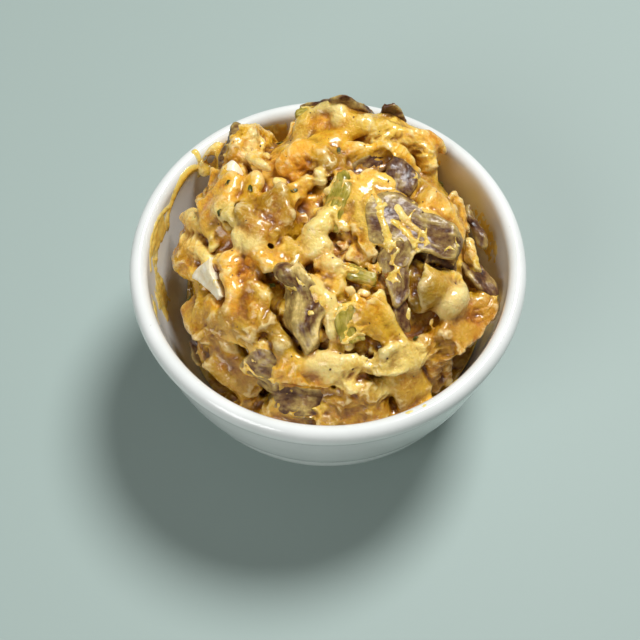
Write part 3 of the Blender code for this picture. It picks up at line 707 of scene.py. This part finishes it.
def flapDistance(piece, points):
    # a thin curled sheet with an uneven outline
    local, half = ownPlace(piece, points)
    u, v = local[:, 0] / half[0], local[:, 1] / half[1]
    curl, wave = piece["curl"], piece["wave"]
    sheet = curl[0] * u * u + curl[1] * v * v + wave * np.sin(3.1 * u + piece["seed"]) * np.cos(2.6 * v)
    skin = np.abs(local[:, 2] - sheet) * 0.8 - half[2]
    ragged = 0.10 * churn(local, 3.0, 200 + piece["seed"])
    v = v / tapered(1 + piece.get("taper", 0.0) * u)
    outline = (np.power(np.abs(u) ** 3 + np.abs(v) ** 3, 1 / 3) - 1 + ragged) * min(half[0], half[1])
    return softMax(skin, outline, 0.5)


def scatterCrumbs(crumbs):
    # bits of potato and yolk in the dressing, on a sunflower spiral
    draw = np.random.default_rng(crumbs["seed"])
    golden = math.pi * (3 - math.sqrt(5))
    stray = 1.5
    laid = []
    for number in range(crumbs["count"]):
        reach = 0.985 * dome["radius"] * math.sqrt((number + 0.5) / crumbs["count"])
        x = dome["centre"][0] + reach * math.cos(number * golden) + draw.uniform(-stray, stray)
        y = dome["centre"][1] + reach * math.sin(number * golden) + draw.uniform(-stray, stray)
        if y > crumbs["backTo"]:
            continue
        size = crumbs["smallest"] + (crumbs["largest"] - crumbs["smallest"]) * draw.random() ** 1.5
        shape = (2 * size * draw.uniform(1.0, 1.9), 2 * size, 2 * size * draw.uniform(0.6, 0.9))
        kind = crumbs["finishes"][int(draw.integers(len(crumbs["finishes"])))]
        laid.append(dict(distance=lumpDistance, at=(x, y), size=shape, finish=kind,
                         blend=heap["blend"]["crumb"], up=draw.uniform(crumbs["low"], crumbs["high"]),
                         turn=draw.uniform(0, 180)))
    return laid


def layPieces():
    blend = heap["blend"]
    laid = [dict(piece, distance=blockDistance, blend=blend["block"], askew=heap["askew"])
            for piece in blocks]
    laid += [dict(piece, distance=lumpDistance, blend=blend["lump"]) for piece in lumps]
    laid += [dict(piece, distance=ropeDistance, blend=blend["strand"]) for piece in strands]
    laid += [dict(piece, distance=flapDistance, blend=blend["flap"]) for piece in flaps]
    for piece in laid:
        x, y = piece["at"] if "at" in piece else piece["path"][0][0][:2]
        piece["hue"] = math.sin(3.1 * x + 5.7 * y)
    return laid + [crumb for kind in crumbs for crumb in scatterCrumbs(kind)]


def pieceBox(piece, margin):
    if "path" in piece:
        places = np.array([place for place, _ in piece["path"]])
        reach = max(radius for _, radius in piece["path"]) + margin
        return places.min(axis=0) - reach, places.max(axis=0) + reach
    middle, axes = lie(piece)
    wider = 1 + max(piece.get("peak", 0), piece.get("nose", 0), abs(piece.get("taper", 0)), 0.2)
    reach = wider * np.array(piece["size"]) / 2 @ np.abs(axes) + margin
    return middle - reach, middle + reach


def gridPoints(low, counts):
    axes = [low[i] + heap["step"] * np.arange(counts[i], dtype=np.float32) for i in range(3)]
    return np.stack(np.meshgrid(*axes, indexing="ij"), axis=-1).reshape(-1, 3)


def outsideRoom(points):
    # how far a point is outside the space that the bowl leaves for the salad
    x, y, z = points.T
    step = 0.3
    slope = (wallRadius(z + step) - wallRadius(z - step)) / (2 * step)
    side = (np.hypot(x, y) - wallRadius(z)) / np.sqrt(1 + slope * slope)
    return np.maximum(side, wallHeights[0] - z) + heap["wallGap"]


def outsideCore(points):
    # the dome's core, and below it the salad down in the bowl
    x, y, z = points.T
    reach = np.hypot(x - dome["centre"][0], y - dome["centre"][1])
    top = domeHeight(x, y, heap["coreInset"]) - heap["coreDepth"]
    core = np.maximum((z - top) * 0.6, reach - (dome["radius"] - heap["coreInset"]))
    return softMin(core, (z - fillLevel(x, y)) * 0.6, heap["blend"]["core"])


def smearOver(points, amount):
    # where dressing lies over a bare piece: 0 clean, 1 covered
    drift = drifting(points, 5.0, 61, 1.6)
    strands = 1 - np.abs(churn(points + drift, 3.4, 64)) * 1.9
    patches = churn(points, 7.0, 65) * 0.5
    return np.clip((strands + patches - (1 - amount)) / 0.3, 0, 1)


def buildField(laid, meshName):
    # distance to the surface on a grid; meshName picks the pieces, None is the heap itself
    low = np.array(heap["low"])
    counts = np.ceil((np.array(heap["high"]) - low) / heap["step"]).astype(int)
    points = gridPoints(low, counts)
    room = outsideRoom(points).astype(np.float32).reshape(counts)
    field = (outsideCore(points) if meshName is None else np.full(len(points), heap["far"]))
    field = field.astype(np.float32).reshape(counts)
    blend = heap["blend"]
    del points

    def stamp(piece, join, coat=None):
        # a piece joined into the part of the grid around it, with only its smears if it has a coat
        lower, upper = pieceBox(piece, 2.4)
        first = np.clip(np.floor((lower - low) / heap["step"]).astype(int), 0, counts)
        last = np.clip(np.ceil((upper - low) / heap["step"]).astype(int) + 1, 0, counts)
        size = last - first
        if (size <= 0).any():
            return
        spot = tuple(slice(a, b) for a, b in zip(first, last))
        places = gridPoints(low + first * heap["step"], size)
        distance = piece["distance"](piece, places)
        if coat is not None:
            distance = distance + 0.55 - 0.95 * smearOver(places, coat)
        field[spot] = join(field[spot], distance.astype(np.float32).reshape(size))

    for piece in laid:
        finish = finishes[piece["finish"]]
        own = finish.get("mesh")
        if meshName is None:
            stamp(piece, lambda a, b: softMin(a, b, piece["blend"]), None if own is None else finish["coat"])
        elif own == meshName:
            stamp(piece, lambda a, b: softMin(a, b, blend["bare"]))
    for gap in gaps:
        stamp(dict(gap, distance=ropeDistance), lambda a, b: softMax(a, -b, blend["gap"]))
    return softMax(field, room, blend["bowl"]), low


def meshFromField(field, low):
    grid = openvdb.FloatGrid()
    grid.background = heap["far"]
    grid.copyFromArray(np.clip(field, -heap["far"], heap["far"]))
    places, quads = grid.convertToQuads(isovalue=0.0)
    return places * heap["step"] + low, quads.astype(np.int64)


def edgesOf(quads):
    pairs = np.concatenate([quads[:, [corner, (corner + 1) % 4]] for corner in range(4)])
    return np.unique(np.sort(pairs, axis=1), axis=0)


def dropScraps(places, quads, smallest):
    # keeps the shells with at least the given number of points, or only the largest
    label = np.arange(len(places))
    ends = edgesOf(quads).T
    while True:
        before = label.copy()
        lower = np.minimum(*label[ends])
        for end in ends:
            np.minimum.at(label, end, lower)
        label = label[label]
        if (label == before).all():
            break
    sizes = np.bincount(label, minlength=len(places))
    keep = sizes[label] >= (smallest or sizes.max())
    number = np.cumsum(keep) - 1
    return places[keep], number[quads[keep[quads[:, 0]]]]


class Skin:
    # a quad mesh as arrays, with its neighbours

    def __init__(self, places, quads):
        self.places, self.quads = places, quads
        self.edges = edgesOf(quads)
        self.counts = np.bincount(self.edges.ravel(), minlength=len(places)).astype(float)

    def eased(self, places, rounds, share=0.6):
        # places pulled towards their neighbours
        first, second = self.edges.T
        for _ in range(rounds):
            mean = np.empty_like(places)
            for column, values in enumerate(places.T):
                mean[:, column] = (np.bincount(first, values[second], len(places))
                                   + np.bincount(second, values[first], len(places)))
            places = places + (mean / self.counts[:, None] - places) * share
        return places

    def normals(self):
        corners = self.places[self.quads]
        faces = np.cross(corners[:, 2] - corners[:, 0], corners[:, 3] - corners[:, 1])
        total = np.zeros_like(self.places)
        for corner in range(4):
            for column in range(3):
                total[:, column] += np.bincount(self.quads[:, corner], faces[:, column], len(self.places))
        return total / np.maximum(np.linalg.norm(total, axis=1, keepdims=True), 1e-9)


def soaked(distance):
    # how much a piece at a distance under the surface gives it its look
    return np.exp(-np.maximum(distance + 0.2, -1.0) / heap["soak"])


def finishSurface(laid, places, meshName):
    # own colour, cover of dressing, folds and crumb of each point, from the pieces just under it,
    # and its place in the closest piece's own frame
    base = finishes["dressing"]
    bare = meshName is not None
    weight = np.full(len(places), 1e-9 if bare else soaked(heap["coreDepth"]))
    shares = ["folds", "crumb"] + {None: ["coat"], "skin": ["film"]}.get(meshName, [])
    values = {key: weight * base.get(key, 0.0) for key in shares}
    if not bare:
        values["tint"] = np.outer(weight, base["tint"])
    nearest = np.full(len(places), 99.0)
    grain = places.copy()
    for piece in laid:
        finish = finishes[piece["finish"]]
        own = finish.get("mesh")
        if bare and own != meshName:
            continue
        low, high = pieceBox(piece, 2.2)
        near = np.nonzero(((places > low) & (places < high)).all(axis=1))[0]
        if len(near) == 0:
            continue
        points = places[near].astype(np.float32)
        distance = piece["distance"](piece, points)
        share = soaked(distance)
        if own is not None and not bare:
            finish = finishes["smear"]
        weight[near] += share
        for key in shares:
            values[key][near] += share * finish[key]
        if not bare:
            hue = piece.get("hue", 0.0)     # paler and greener, or rosier
            tint = finish["tint"] * np.array((1, 1 + 0.04 * hue, 1 + 0.22 * hue))
            values["tint"][near] += np.outer(share, tint)
        if bare and "size" in piece:
            closer = distance < nearest[near]
            nearest[near[closer]] = distance[closer]
            grain[near[closer]] = ownPlace(piece, points)[0][closer] + piece["turn"]
    for key in shares:
        values[key] /= weight
    if bare:
        values["grain"] = grain * mm
    else:
        values["tint"] /= weight[:, None]
    return values


# Relief of the surface: heights of the soft hills and of the torn ridges (mm), then the coarse
# and fine crests over them as size and height, on the salad and along the bare pieces.
relief = {
    "hills": 1.15, "torn": 0.8,
    "crests": ((2.7, 0.62), (1.3, 0.34)), "bareCrests": ((2.4, 0.60), (1.2, 0.22)),
    "headings": (62, -28), "drawn": 0.66, "bareDrawn": (0.25, 1.0, 1.0),
}


def drawnOut(places, heading):
    # space squeezed along a heading, so that a pattern in it runs in streaks
    way = np.array((*headed(heading), 0.0))
    return places - relief["drawn"] * np.outer(places @ way, way)


def crests(places, seed, sizes):
    # thin raised lines, about half their height on them and a third under it between
    coarse, fine = [np.maximum(0.5 - np.abs(churn(places, size, seed + 2 * i)) * 1.8, -0.3) * height
                    for i, (size, height) in enumerate(sizes)]
    return coarse + fine


def roughen(skin, values):
    # soft hills, torn ridges and grain, fading out where the salad lies against the bowl
    places, normals, folds = skin.places, skin.normals(), values["folds"]
    free = np.clip(0.1 - outsideRoom(places), 0, 1)
    drift = drifting(places, 6.0, 21, 2.2)
    folds *= np.clip(0.62 + churn(places, 13.0, 41) * 1.4, 0.2, 1.1)     # calm here, torn there
    rise = churn(places + drift, 6.5, 31) * relief["hills"] * np.sqrt(folds)
    rise += (np.abs(churn(places + drift * 0.6, 3.4, 32)) * relief["torn"] - 0.24) * folds
    if "grain" in values:       # ridges along the piece
        along = values["grain"] / mm * np.array(relief["bareDrawn"]) + drift * 0.3
        rise += crests(along, 36, relief["bareCrests"]) * folds
    else:
        turn = np.clip(0.5 + churn(places, 11.0, 35) * 1.5, 0, 1)
        for share, heading, seed in zip((turn, 1 - turn), relief["headings"], (36, 37)):
            rise += crests(drawnOut(places + drift, heading), seed, relief["crests"]) * share * folds
    rise += churn(places, 1.0, 34) * values["crumb"]
    skin.places = places + normals * (rise * free)[:, None]


def storeOn(mesh, name, values):
    # a vector, a colour or a number for each point
    kind, field = {"grain": ("FLOAT_VECTOR", "vector"), "tint": ("FLOAT_COLOR", "color")}.get(
        name, ("FLOAT", "value"))
    if name == "tint":
        values = np.column_stack([values, np.ones(len(values))])
    layer = mesh.attributes.new(name, kind, "POINT")
    layer.data.foreach_set(field, values.astype(np.float32).ravel())


def quadMesh(name, places, quads):
    mesh = bpy.data.meshes.new(name)
    mesh.vertices.add(len(places))
    mesh.vertices.foreach_set("co", (places * mm).astype(np.float32).ravel())
    mesh.loops.add(quads.size)
    mesh.loops.foreach_set("vertex_index", quads.astype(np.int32).ravel())
    mesh.polygons.add(len(quads))
    mesh.polygons.foreach_set("loop_start", np.arange(0, quads.size, 4, dtype=np.int32))
    mesh.update(calc_edges=True)
    mesh.validate()
    mesh.shade_smooth()
    return mesh


def thinned(thing, ratio, group=""):
    # fewer faces, in the named group only if there is one
    thin = thing.modifiers.new("thin", "DECIMATE")
    thin.ratio = ratio
    thin.vertex_group = group
    thin.vertex_group_factor = 1000     # the group goes before anything else
    finished = applyModifiers(thing)
    return len(finished.loops) - 2 * len(finished.polygons)


def thinHeap(thing, hidden):
    # far fewer faces where the salad lies against the bowl, then fewer where it is even
    group = thing.vertex_groups.new(name="hidden")
    group.add(np.nonzero(hidden)[0].tolist(), 1.0, "REPLACE")
    triangles = thinned(thing, 1 - hidden.mean() * (1 - heap["hiddenShare"]), group.name)
    thing.vertex_groups.clear()
    if triangles > heap["mostTriangles"]:
        triangles = thinned(thing, heap["mostTriangles"] / triangles)
    thing.data.shade_smooth()
    print("the heap is down to", triangles, "triangles")


def carve(name, laid, meshName, material):
    # one kind of surface as a mesh object with its values stored on it; meshName None is the heap
    whole = meshName is None
    field, low = buildField(laid, meshName)
    skin = Skin(*dropScraps(*meshFromField(field, low), None if whole else heap["scrap"]))
    skin.places = skin.eased(skin.places, 4 if whole else 1, 0.5)
    values = finishSurface(laid, skin.places, meshName)
    roughen(skin, values)
    normals = skin.normals()
    # how far each point sits in a hollow and how deep it lies in the heap; the shaders use these for painted
    # shade in hollows and painted highlight on crests
    near = skin.eased(skin.places, 12)
    values["hollow"] = ((near - skin.places) * normals).sum(axis=1)
    if whole:
        far = skin.eased(near, 60)
        values["deep"] = ((far - near) * normals).sum(axis=1)
    thing = newObject(name, quadMesh(name, skin.places, skin.quads))
    for key in values:
        if key not in ("folds", "crumb"):
            storeOn(thing.data, key, values[key])
    if whole:
        thinHeap(thing, outsideRoom(skin.places) > -0.35)
    dress(thing, material)
    return thing


def makeDressed():
    salad = Recipe("dressed salad", IOR=1.42, Subsurface_Weight=0.25, Subsurface_Radius=(1.0, 0.6, 0.2),
                   Subsurface_Scale=0.002, Coat_Weight=0.85, Coat_Roughness=0.14)
    broad, middle, fine = salad.noise(9, 4), salad.noise(2.6, 5, 0.6), salad.noise(0.8, 4, 0.6)
    hollow, deep = salad.painted("hollow"), salad.painted("deep")
    coat = salad.painted("coat")
    # dressing is brown orange where it pools, golden between and cream on the raised folds; the browning in
    # hollows and deep gaps is partly the pooled dressing and partly painted shade
    level = salad.total(0.06, (hollow, -1.0), (deep, -0.36), (broad, 0.6), (middle, 0.25))
    dressing = salad.ramp(level, (0.0, 92, 54, 0), (0.24, 150, 96, 0),
                          (0.48, 192, 142, 18), (0.70, 226, 184, 56), (1.0, 250, 226, 134))
    # the pieces have their own colours, with brown specks, greener here and rosier there; they are made
    # darker in the hollows and deep places as painted shade, and cream on the crests partly as painted
    # highlight
    # brown specks at random, a little darker in deep places as painted shade
    specks = salad.total(-0.08, (broad, 0.45), (middle, 0.45), (fine, 0.30), (deep, -0.12))
    shade = salad.ramp(specks, (0.28, 176, 124, 44), (0.42, 230, 192, 112), (0.54, 255, 255, 255))
    drift = salad.ramp(salad.noise(15, 3), (0.38, 236, 218, 152), (0.50, 255, 240, 186),
                       (0.62, 248, 222, 158))
    # painted shade: the pieces darkened in the hollows and deep in the heap
    sunk = salad.ramp(salad.total(0.02, (hollow, 0.9), (deep, 0.38)), (0.0, 255, 255, 255),
                      (0.36, 150, 104, 20))
    speckled = salad.maths("ADD", salad.maths("MULTIPLY", coat, 1.2), 0.38, clamp=True)
    flesh = salad.mixed(speckled, salad.painted("tint", "Color"), shade, "MULTIPLY")
    flesh = salad.mixed(1.0, flesh, drift, "MULTIPLY")
    flesh = salad.mixed(1.0, flesh, sunk, "MULTIPLY")
    # cream on the raised folds, partly the paler cream itself and partly painted highlight
    crestHighlight = salad.between(
        salad.total(0.0, (hollow, -1.6), (deep, -0.30), (fine, 0.5), (middle, 0.6)), 0.66, 1.05)
    flesh = salad.mixed(salad.maths("MULTIPLY", crestHighlight, 0.5), flesh, tone(255, 236, 174))
    cover = salad.total(-1.45, (coat, 1.0), (hollow, 1.0), (deep, 0.25), (middle, 0.8), (broad, 1.8))
    salad.use(Base_Color=salad.mixed(salad.between(cover, 0.05, 0.80), flesh, dressing),
              Roughness=salad.total(0.06, (fine, 0.28)))
    salad.bump(salad.total(0.0, (fine, 1.2), (middle, 1.0)), 0.75, 0.5)
    return salad.material


def makeSkinFinish():
    # dark peel, and olive to cream streaks along it where dressing has been rubbed in, made darker in its
    # hollows as painted shade
    peel = Recipe("wet potato skin", IOR=1.42, Coat_Weight=0.25, Coat_Roughness=0.2, Subsurface_Weight=0.05,
                  Subsurface_Scale=0.001)
    along = peel.stretched(peel.painted("grain", "Vector"), (0.22, 1.0, 1.0))
    broad, middle, fine = peel.noise(7, 3), peel.noise(2.4, 5, 0.65), peel.noise(0.7, 4, 0.6)
    streaks = peel.noise(2.3, 5, 0.6, warp=0.5, place=along)
    # darker in the hollows: painted shade
    level = peel.total(-0.96, (peel.painted("hollow"), -0.8), (streaks, 1.0), (broad, 1.0),
                       (middle, 0.5), (fine, 0.2), (peel.painted("film"), 0.55))
    own = peel.ramp(level, (0.22, 56, 30, 14), (0.42, 94, 60, 38), (0.54, 130, 98, 56),
                    (0.68, 162, 136, 78), (0.84, 200, 172, 98), (1.0, 244, 214, 136))
    peel.use(Base_Color=own, Roughness=peel.total(0.16, (fine, 0.3)))
    peel.bump(peel.total(0.0, (fine, 0.3), (middle, 0.5), (streaks, 1.2)), 0.7, 0.5)
    return peel.material


def makeCeleryFinish():
    stalk = Recipe("celery", IOR=1.40, Coat_Weight=0.3, Coat_Roughness=0.1, Subsurface_Weight=0.25,
                   Subsurface_Radius=(0.8, 0.8, 0.25), Subsurface_Scale=0.0015)
    along = stalk.stretched(stalk.painted("grain", "Vector"), (0.12, 1.0, 1.0))
    threads, broad = stalk.noise(0.9, 3, place=along), stalk.noise(4, 3)
    own = stalk.ramp(stalk.total(0.0, (threads, 0.5), (broad, 0.5)), (0.34, 118, 110, 26),
                     (0.50, 168, 152, 58), (0.66, 226, 206, 124))
    film = stalk.between(stalk.total(-0.3, (stalk.noise(2.4, 4), 1.2)), 0.34, 0.55)
    stalk.use(Base_Color=stalk.mixed(stalk.maths("MULTIPLY", film, 0.6), own, tone(230, 176, 84)),
              Roughness=stalk.total(0.12, (threads, 0.25)))
    stalk.bump(threads, 0.5, 0.4)
    return stalk.material


def makeEggFinish():
    white = Recipe("egg white", IOR=1.40, Coat_Weight=0.3, Coat_Roughness=0.15, Subsurface_Weight=0.3,
                   Subsurface_Radius=(1.0, 0.85, 0.6), Subsurface_Scale=0.002)
    blots = white.total(0.0, (white.noise(3.0, 4), 0.6), (white.noise(1.0, 3), 0.4))
    own = white.ramp(white.noise(2.0, 3), (0.3, 244, 226, 180), (0.7, 255, 248, 226))
    white.use(Base_Color=white.mixed(white.between(blots, 0.58, 0.74), own, tone(246, 208, 138)),
              Roughness=white.total(0.18, (white.noise(0.7, 3), 0.22)))
    white.bump(white.noise(1.0, 4), 0.3, 0.3)
    return white.material


# Dressing left on the bowl. Turn is the compass angle, up the way over the glaze from where
# the rim begins (mm, below 0 on the inside wall). Patches are torn films, strokes are drawn
# through (turn, up) stops.
smears = {
    "patches": [
        dict(turn=(158, 177), up=(-8, 0.6), thick=0.32, cover=0.58),
        dict(turn=(176, 191), up=(-21, -7), thick=0.32, cover=0.58),
        dict(turn=(189, 200), up=(-8, -2.0), thick=0.22, cover=0.45),
        dict(turn=(95, 112), up=(-15, 1.0), thick=0.30, cover=0.56),
        dict(turn=(4, 30), up=(-16, -5), thick=0.20, cover=0.42),
        dict(turn=(308, 330), up=(-6, -0.5), thick=0.25, cover=0.50),
        dict(turn=(214, 236), up=(-20, -10), thick=0.25, cover=0.40),
    ],
    "strokes": [
        dict(wide=0.9, stops=[(137.0, 5.0), (137.6, 2.0), (138.4, -1.5), (139.6, -4.0)]),
        dict(wide=1.5, stops=[(138.5, -1.0), (143, 0.8), (149, 0.0), (154, -2.0), (159, -4.5), (161, -8)]),
        dict(wide=1.0, stops=[(155, -3.0), (162, 0.0), (170, 0.6), (176, -0.6), (181, -3.0)]),
        dict(wide=0.8, stops=[(176, -4), (179, -9), (181, -16), (180, -22)]),
        dict(wide=0.7, stops=[(186, -7), (188, -12), (187, -18)]),
        dict(wide=0.6, stops=[(310, 0.4), (316, -0.6), (323, -0.8)]),
        dict(wide=0.5, stops=[(293.0, 3.4), (294.6, 3.6)]),
        dict(wide=0.4, stops=[(298.4, 3.8), (299.2, 3.5)]),
        dict(wide=0.4, stops=[(48, -3), (49, -7)]),
    ],
    "mesh": 0.36, "under": 0.12, "lowest": -28.0, "thickest": 0.9,
    "turnRadius": 51,       # turns a stroke's degrees into mm
}
# Flakes of herb where they show (x, y, turn), and specks of pepper all over.
herbs = {
    "flakes": [(-28, 17.5, 15), (-30, 8.5, 60), (-21.5, 15.5, 110), (-15.5, -12, 150), (10, 21, 170),
               (-9.5, 13.5, 40), (3, 27, 95), (24, -24, 20), (-2, -27, 80), (33, 28, 140), (-14, 38, 75),
               (15, 46, 30), (-39, -9, 120)],
    "length": 2.6, "width": 1.3, "thick": 0.16,
}
pepper = {"count": 110, "seed": 8, "smallest": 0.10, "largest": 0.26, "sunk": 0.35}


def sheetShell(top, bottom, kept):
    # a closed sheet from two grids of places, using only the kept cells
    rows, columns = top.shape[:2]
    number = np.arange(rows * columns).reshape(rows, columns)
    corners = np.stack([number[:-1, :-1], number[1:, :-1], number[1:, 1:], number[:-1, 1:]], axis=-1)[kept]
    below = corners[:, ::-1] + rows * columns
    pairs = np.concatenate([corners[:, [i, (i + 1) % 4]] for i in range(4)])
    keys = pairs[:, 0] * rows * columns + pairs[:, 1]
    back = pairs[:, 1] * rows * columns + pairs[:, 0]
    rim = pairs[~np.isin(keys, back)]
    sides = np.stack([rim[:, 1], rim[:, 0], rim[:, 0] + rows * columns, rim[:, 1] + rows * columns], axis=1)
    quads = np.concatenate([corners, below, sides])
    places = np.concatenate([top.reshape(-1, 3), bottom.reshape(-1, 3)])
    used, quads = np.unique(quads, return_inverse=True)
    return places[used], quads.reshape(-1, 4), used


def wallRun():
    # the inside of the wall and the rim as radius, height and the way out of them, evenly stepped
    line = np.array(insideRun + rimArc(20, 5))
    lengths = np.concatenate([[0.0], np.cumsum(np.linalg.norm(np.diff(line, axis=0), axis=1))])
    start = lengths[len(insideRun) - 1]
    ups = np.arange(smears["lowest"], lengths[-1] - start, smears["mesh"])
    radii = np.interp(ups + start, lengths, line[:, 0])
    heights = np.interp(ups + start, lengths, line[:, 1])
    across, rising = np.gradient(radii), np.gradient(heights)
    size = np.hypot(across, rising)
    return ups, radii, heights, -rising / size, across / size


def smearThickness(turns, ups, points):
    # how thick the dressing on the glaze is, below 0 where there is none
    streaks = 1 - np.abs(churn(points * np.array((1.0, 1.0, 0.35)), 2.2, 71)) * 2.2
    torn = churn(points, 4.5, 72) + 0.6 * churn(points, 1.7, 73)
    thick = np.full(turns.shape, -0.3)
    for patch in smears["patches"]:
        away = 2 * np.maximum(*(np.abs(along - (low + high) / 2) / (high - low)
                                for along, (low, high) in ((turns, patch["turn"]), (ups, patch["up"]))))
        share = patch["cover"] + 0.30 * torn + 0.22 * streaks - 0.30 - away ** 3 * 0.6
        thick = np.maximum(thick, patch["thick"] * np.minimum(share * 3.0, 1.0 + 0.5 * streaks))
    for stroke in smears["strokes"]:
        run = smoothRun(stroke["stops"], 5)
        for i, ((ta, ua), (tb, ub)) in enumerate(zip(run, run[1:])):
            swell = stroke["wide"] * (0.75 + 0.35 * math.sin(1.9 * i + ta))
            px, py = (turns - ta) * math.radians(smears["turnRadius"]), ups - ua
            dx, dy = (tb - ta) * math.radians(smears["turnRadius"]), ub - ua
            along = np.clip((px * dx + py * dy) / max(dx * dx + dy * dy, 1e-6), 0, 1)
            away = np.hypot(px - along * dx, py - along * dy) + 0.25 * torn
            thick = np.maximum(thick, 0.42 * (swell - away))
    return np.minimum(thick, smears["thickest"])


def makeSmearFinish():
    film = Recipe("dressing on glaze", IOR=1.42, Coat_Weight=0.4, Coat_Roughness=0.12,
                  Subsurface_Weight=0.2, Subsurface_Radius=(1.0, 0.6, 0.25), Subsurface_Scale=0.001)
    fine = film.noise(0.9, 4, 0.6)
    level = film.total(0.0, (film.painted("thick"), 0.6), (film.noise(4, 4), 0.5), (fine, 0.2))
    film.use(Base_Color=film.ramp(level, (0.20, 246, 232, 176), (0.45, 240, 212, 116),
                                  (0.70, 236, 190, 70), (1.0, 214, 152, 36)),
             Roughness=film.total(0.14, (fine, 0.2)))
    film.bump(fine, 0.4, 0.25)
    return film.material


def smearBowl():
    ups, radii, heights, inward, upward = wallRun()
    turns = np.arange(0.0, 360.0, math.degrees(smears["mesh"] / bowl["inside"][-1][0]))
    turns = np.append(turns, 360.0)
    angle = np.radians(turns)[:, None]
    wall, out = (np.stack([np.cos(angle) * across, np.sin(angle) * across,
                           np.tile(rising, (len(turns), 1))], axis=-1)
                 for across, rising in ((radii, heights), (inward, upward)))
    turnGrid, upGrid = np.meshgrid(turns, ups, indexing="ij")
    thick = smearThickness(turnGrid.ravel(), upGrid.ravel(), wall.reshape(-1, 3)).reshape(turnGrid.shape)
    solid = thick > 0
    kept = solid[:-1, :-1] | solid[1:, :-1] | solid[1:, 1:] | solid[:-1, 1:]
    lift = np.maximum(thick, -smears["under"] * 0.5)[..., None]
    places, quads, used = sheetShell(wall + out * lift, wall - out * smears["under"], kept)
    mesh = quadMesh("bowlSmears", places, quads)
    storeOn(mesh, "thick", np.tile(np.maximum(thick, 0).ravel(), 2)[used])
    dress(newObject("bowlSmears", mesh), makeSmearFinish())


def surfaceTrees(things):
    depsgraph = bpy.context.evaluated_depsgraph_get()
    return [BVHTree.FromObject(thing, depsgraph) for thing in things]


def landOn(trees, x, y):
    # the place and outward way of the surface first met from above
    best = None
    for tree in trees:
        place, facing, _, _ = tree.ray_cast(Vector((x * mm, y * mm, 0.1)), Vector((0, 0, -1)))
        if place is not None and (best is None or place.z > best[0].z):
            best = (place, facing)
    return best


def scatter(name, shells, material):
    # many small shells as one piece
    starts = np.cumsum([0] + [len(places) for places, _ in shells])
    places = np.concatenate([places for places, _ in shells])
    quads = np.concatenate([quads + start for (_, quads), start in zip(shells, starts)])
    dress(newObject(name, quadMesh(name, places, quads)), material)


def makeHerbFinish():
    leaf = Recipe("herb leaf", IOR=1.4, Coat_Weight=0.3, Coat_Roughness=0.15)
    veins = leaf.noise(0.5, 4)
    leaf.use(Base_Color=leaf.ramp(veins, (0.3, 44, 46, 12), (0.5, 74, 78, 22),
                                  (0.7, 104, 108, 40)), Roughness=leaf.total(0.25, (veins, 0.3)))
    leaf.bump(veins, 0.4, 0.1)
    return leaf.material


def scatterHerbs(trees):
    grid = np.linspace(-1, 1, 9)
    u, v = np.meshgrid(grid, grid, indexing="ij")
    every = np.ones((len(grid) - 1, len(grid) - 1), bool)
    shells = []
    for number, (x, y, turn) in enumerate(herbs["flakes"]):
        landed = landOn(trees, x, y)
        if landed is None:
            continue
        place, facing = landed
        size = 0.75 + 0.35 * math.sin(2.7 * number) ** 2
        width = np.sqrt(np.clip(1 - u * u, 0.02, 1)) * (1 + 0.18 * np.sin(5 * u + number))
        rise = 0.30 * np.sin(2.4 * u + number) + 0.22 * v * v + 0.20
        half = size * herbs["length"] / 2, size * herbs["width"] / 2
        top = np.stack([u * half[0], v * width * half[1], rise], axis=-1)
        flake, faces, _ = sheetShell(top, top - np.array((0, 0, herbs["thick"])), every)
        shells.append((flake @ np.array(axesAlong(turn, facing)) + np.array(place) / mm, faces))
    scatter("herbFlakes", shells, makeHerbFinish())


def makePepperFinish():
    corn = Recipe("black pepper", IOR=1.45)
    fine = corn.noise(0.3, 3)
    corn.use(Base_Color=corn.ramp(fine, (0.35, 44, 26, 12), (0.65, 104, 66, 34)),
             Roughness=corn.total(0.35, (fine, 0.3)))
    return corn.material


def scatterPepper(trees):
    # small broken bits, half sunk in the dressing
    draw = np.random.default_rng(pepper["seed"])
    cube = np.array(list(np.ndindex(2, 2, 2)), float) * 2 - 1
    sides = np.array([(0, 1, 3, 2), (4, 6, 7, 5), (0, 4, 5, 1), (2, 3, 7, 6), (0, 2, 6, 4), (1, 5, 7, 3)])
    shells = []
    for _ in range(pepper["count"]):
        reach, angle = dome["radius"] * math.sqrt(draw.random()), draw.uniform(0, 2 * math.pi)
        size = pepper["smallest"] + (pepper["largest"] - pepper["smallest"]) * draw.random() ** 2
        bit = (cube * draw.uniform(0.6, 1.2, 3) + draw.uniform(-0.35, 0.35, cube.shape)) * size
        x, y = dome["centre"][0] + reach * math.cos(angle), dome["centre"][1] + reach * math.sin(angle)
        landed = landOn(trees, x, y)
        if landed is None:
            continue
        place, facing = landed
        turned = np.array(facing.to_track_quat("Z", "Y").to_matrix())
        bit = bit @ turned.T + np.array(place) / mm - np.array(facing) * size * pepper["sunk"]
        shells.append((bit, sides))
    scatter("pepperSpecks", shells, makePepperFinish())


laid = layPieces()
print("laid", len(laid), "pieces")

saladThings = [carve(name, laid, meshName, makeFinish()) for name, meshName, makeFinish, slot in (
    ("potatoSaladHeap", None, makeDressed, "dressed_potato"),
    ("potatoSkins", "skin", makeSkinFinish, "potato_skin"),
    ("celeryPieces", "celery", makeCeleryFinish, "celery"),
    ("eggWhitePieces", "egg", makeEggFinish, "egg_white"))]
print("salad is dressed")

trees = surfaceTrees(saladThings)
scatterHerbs(trees)
scatterPepper(trees)
smearBowl()
print("herbs, pepper and smears are on")
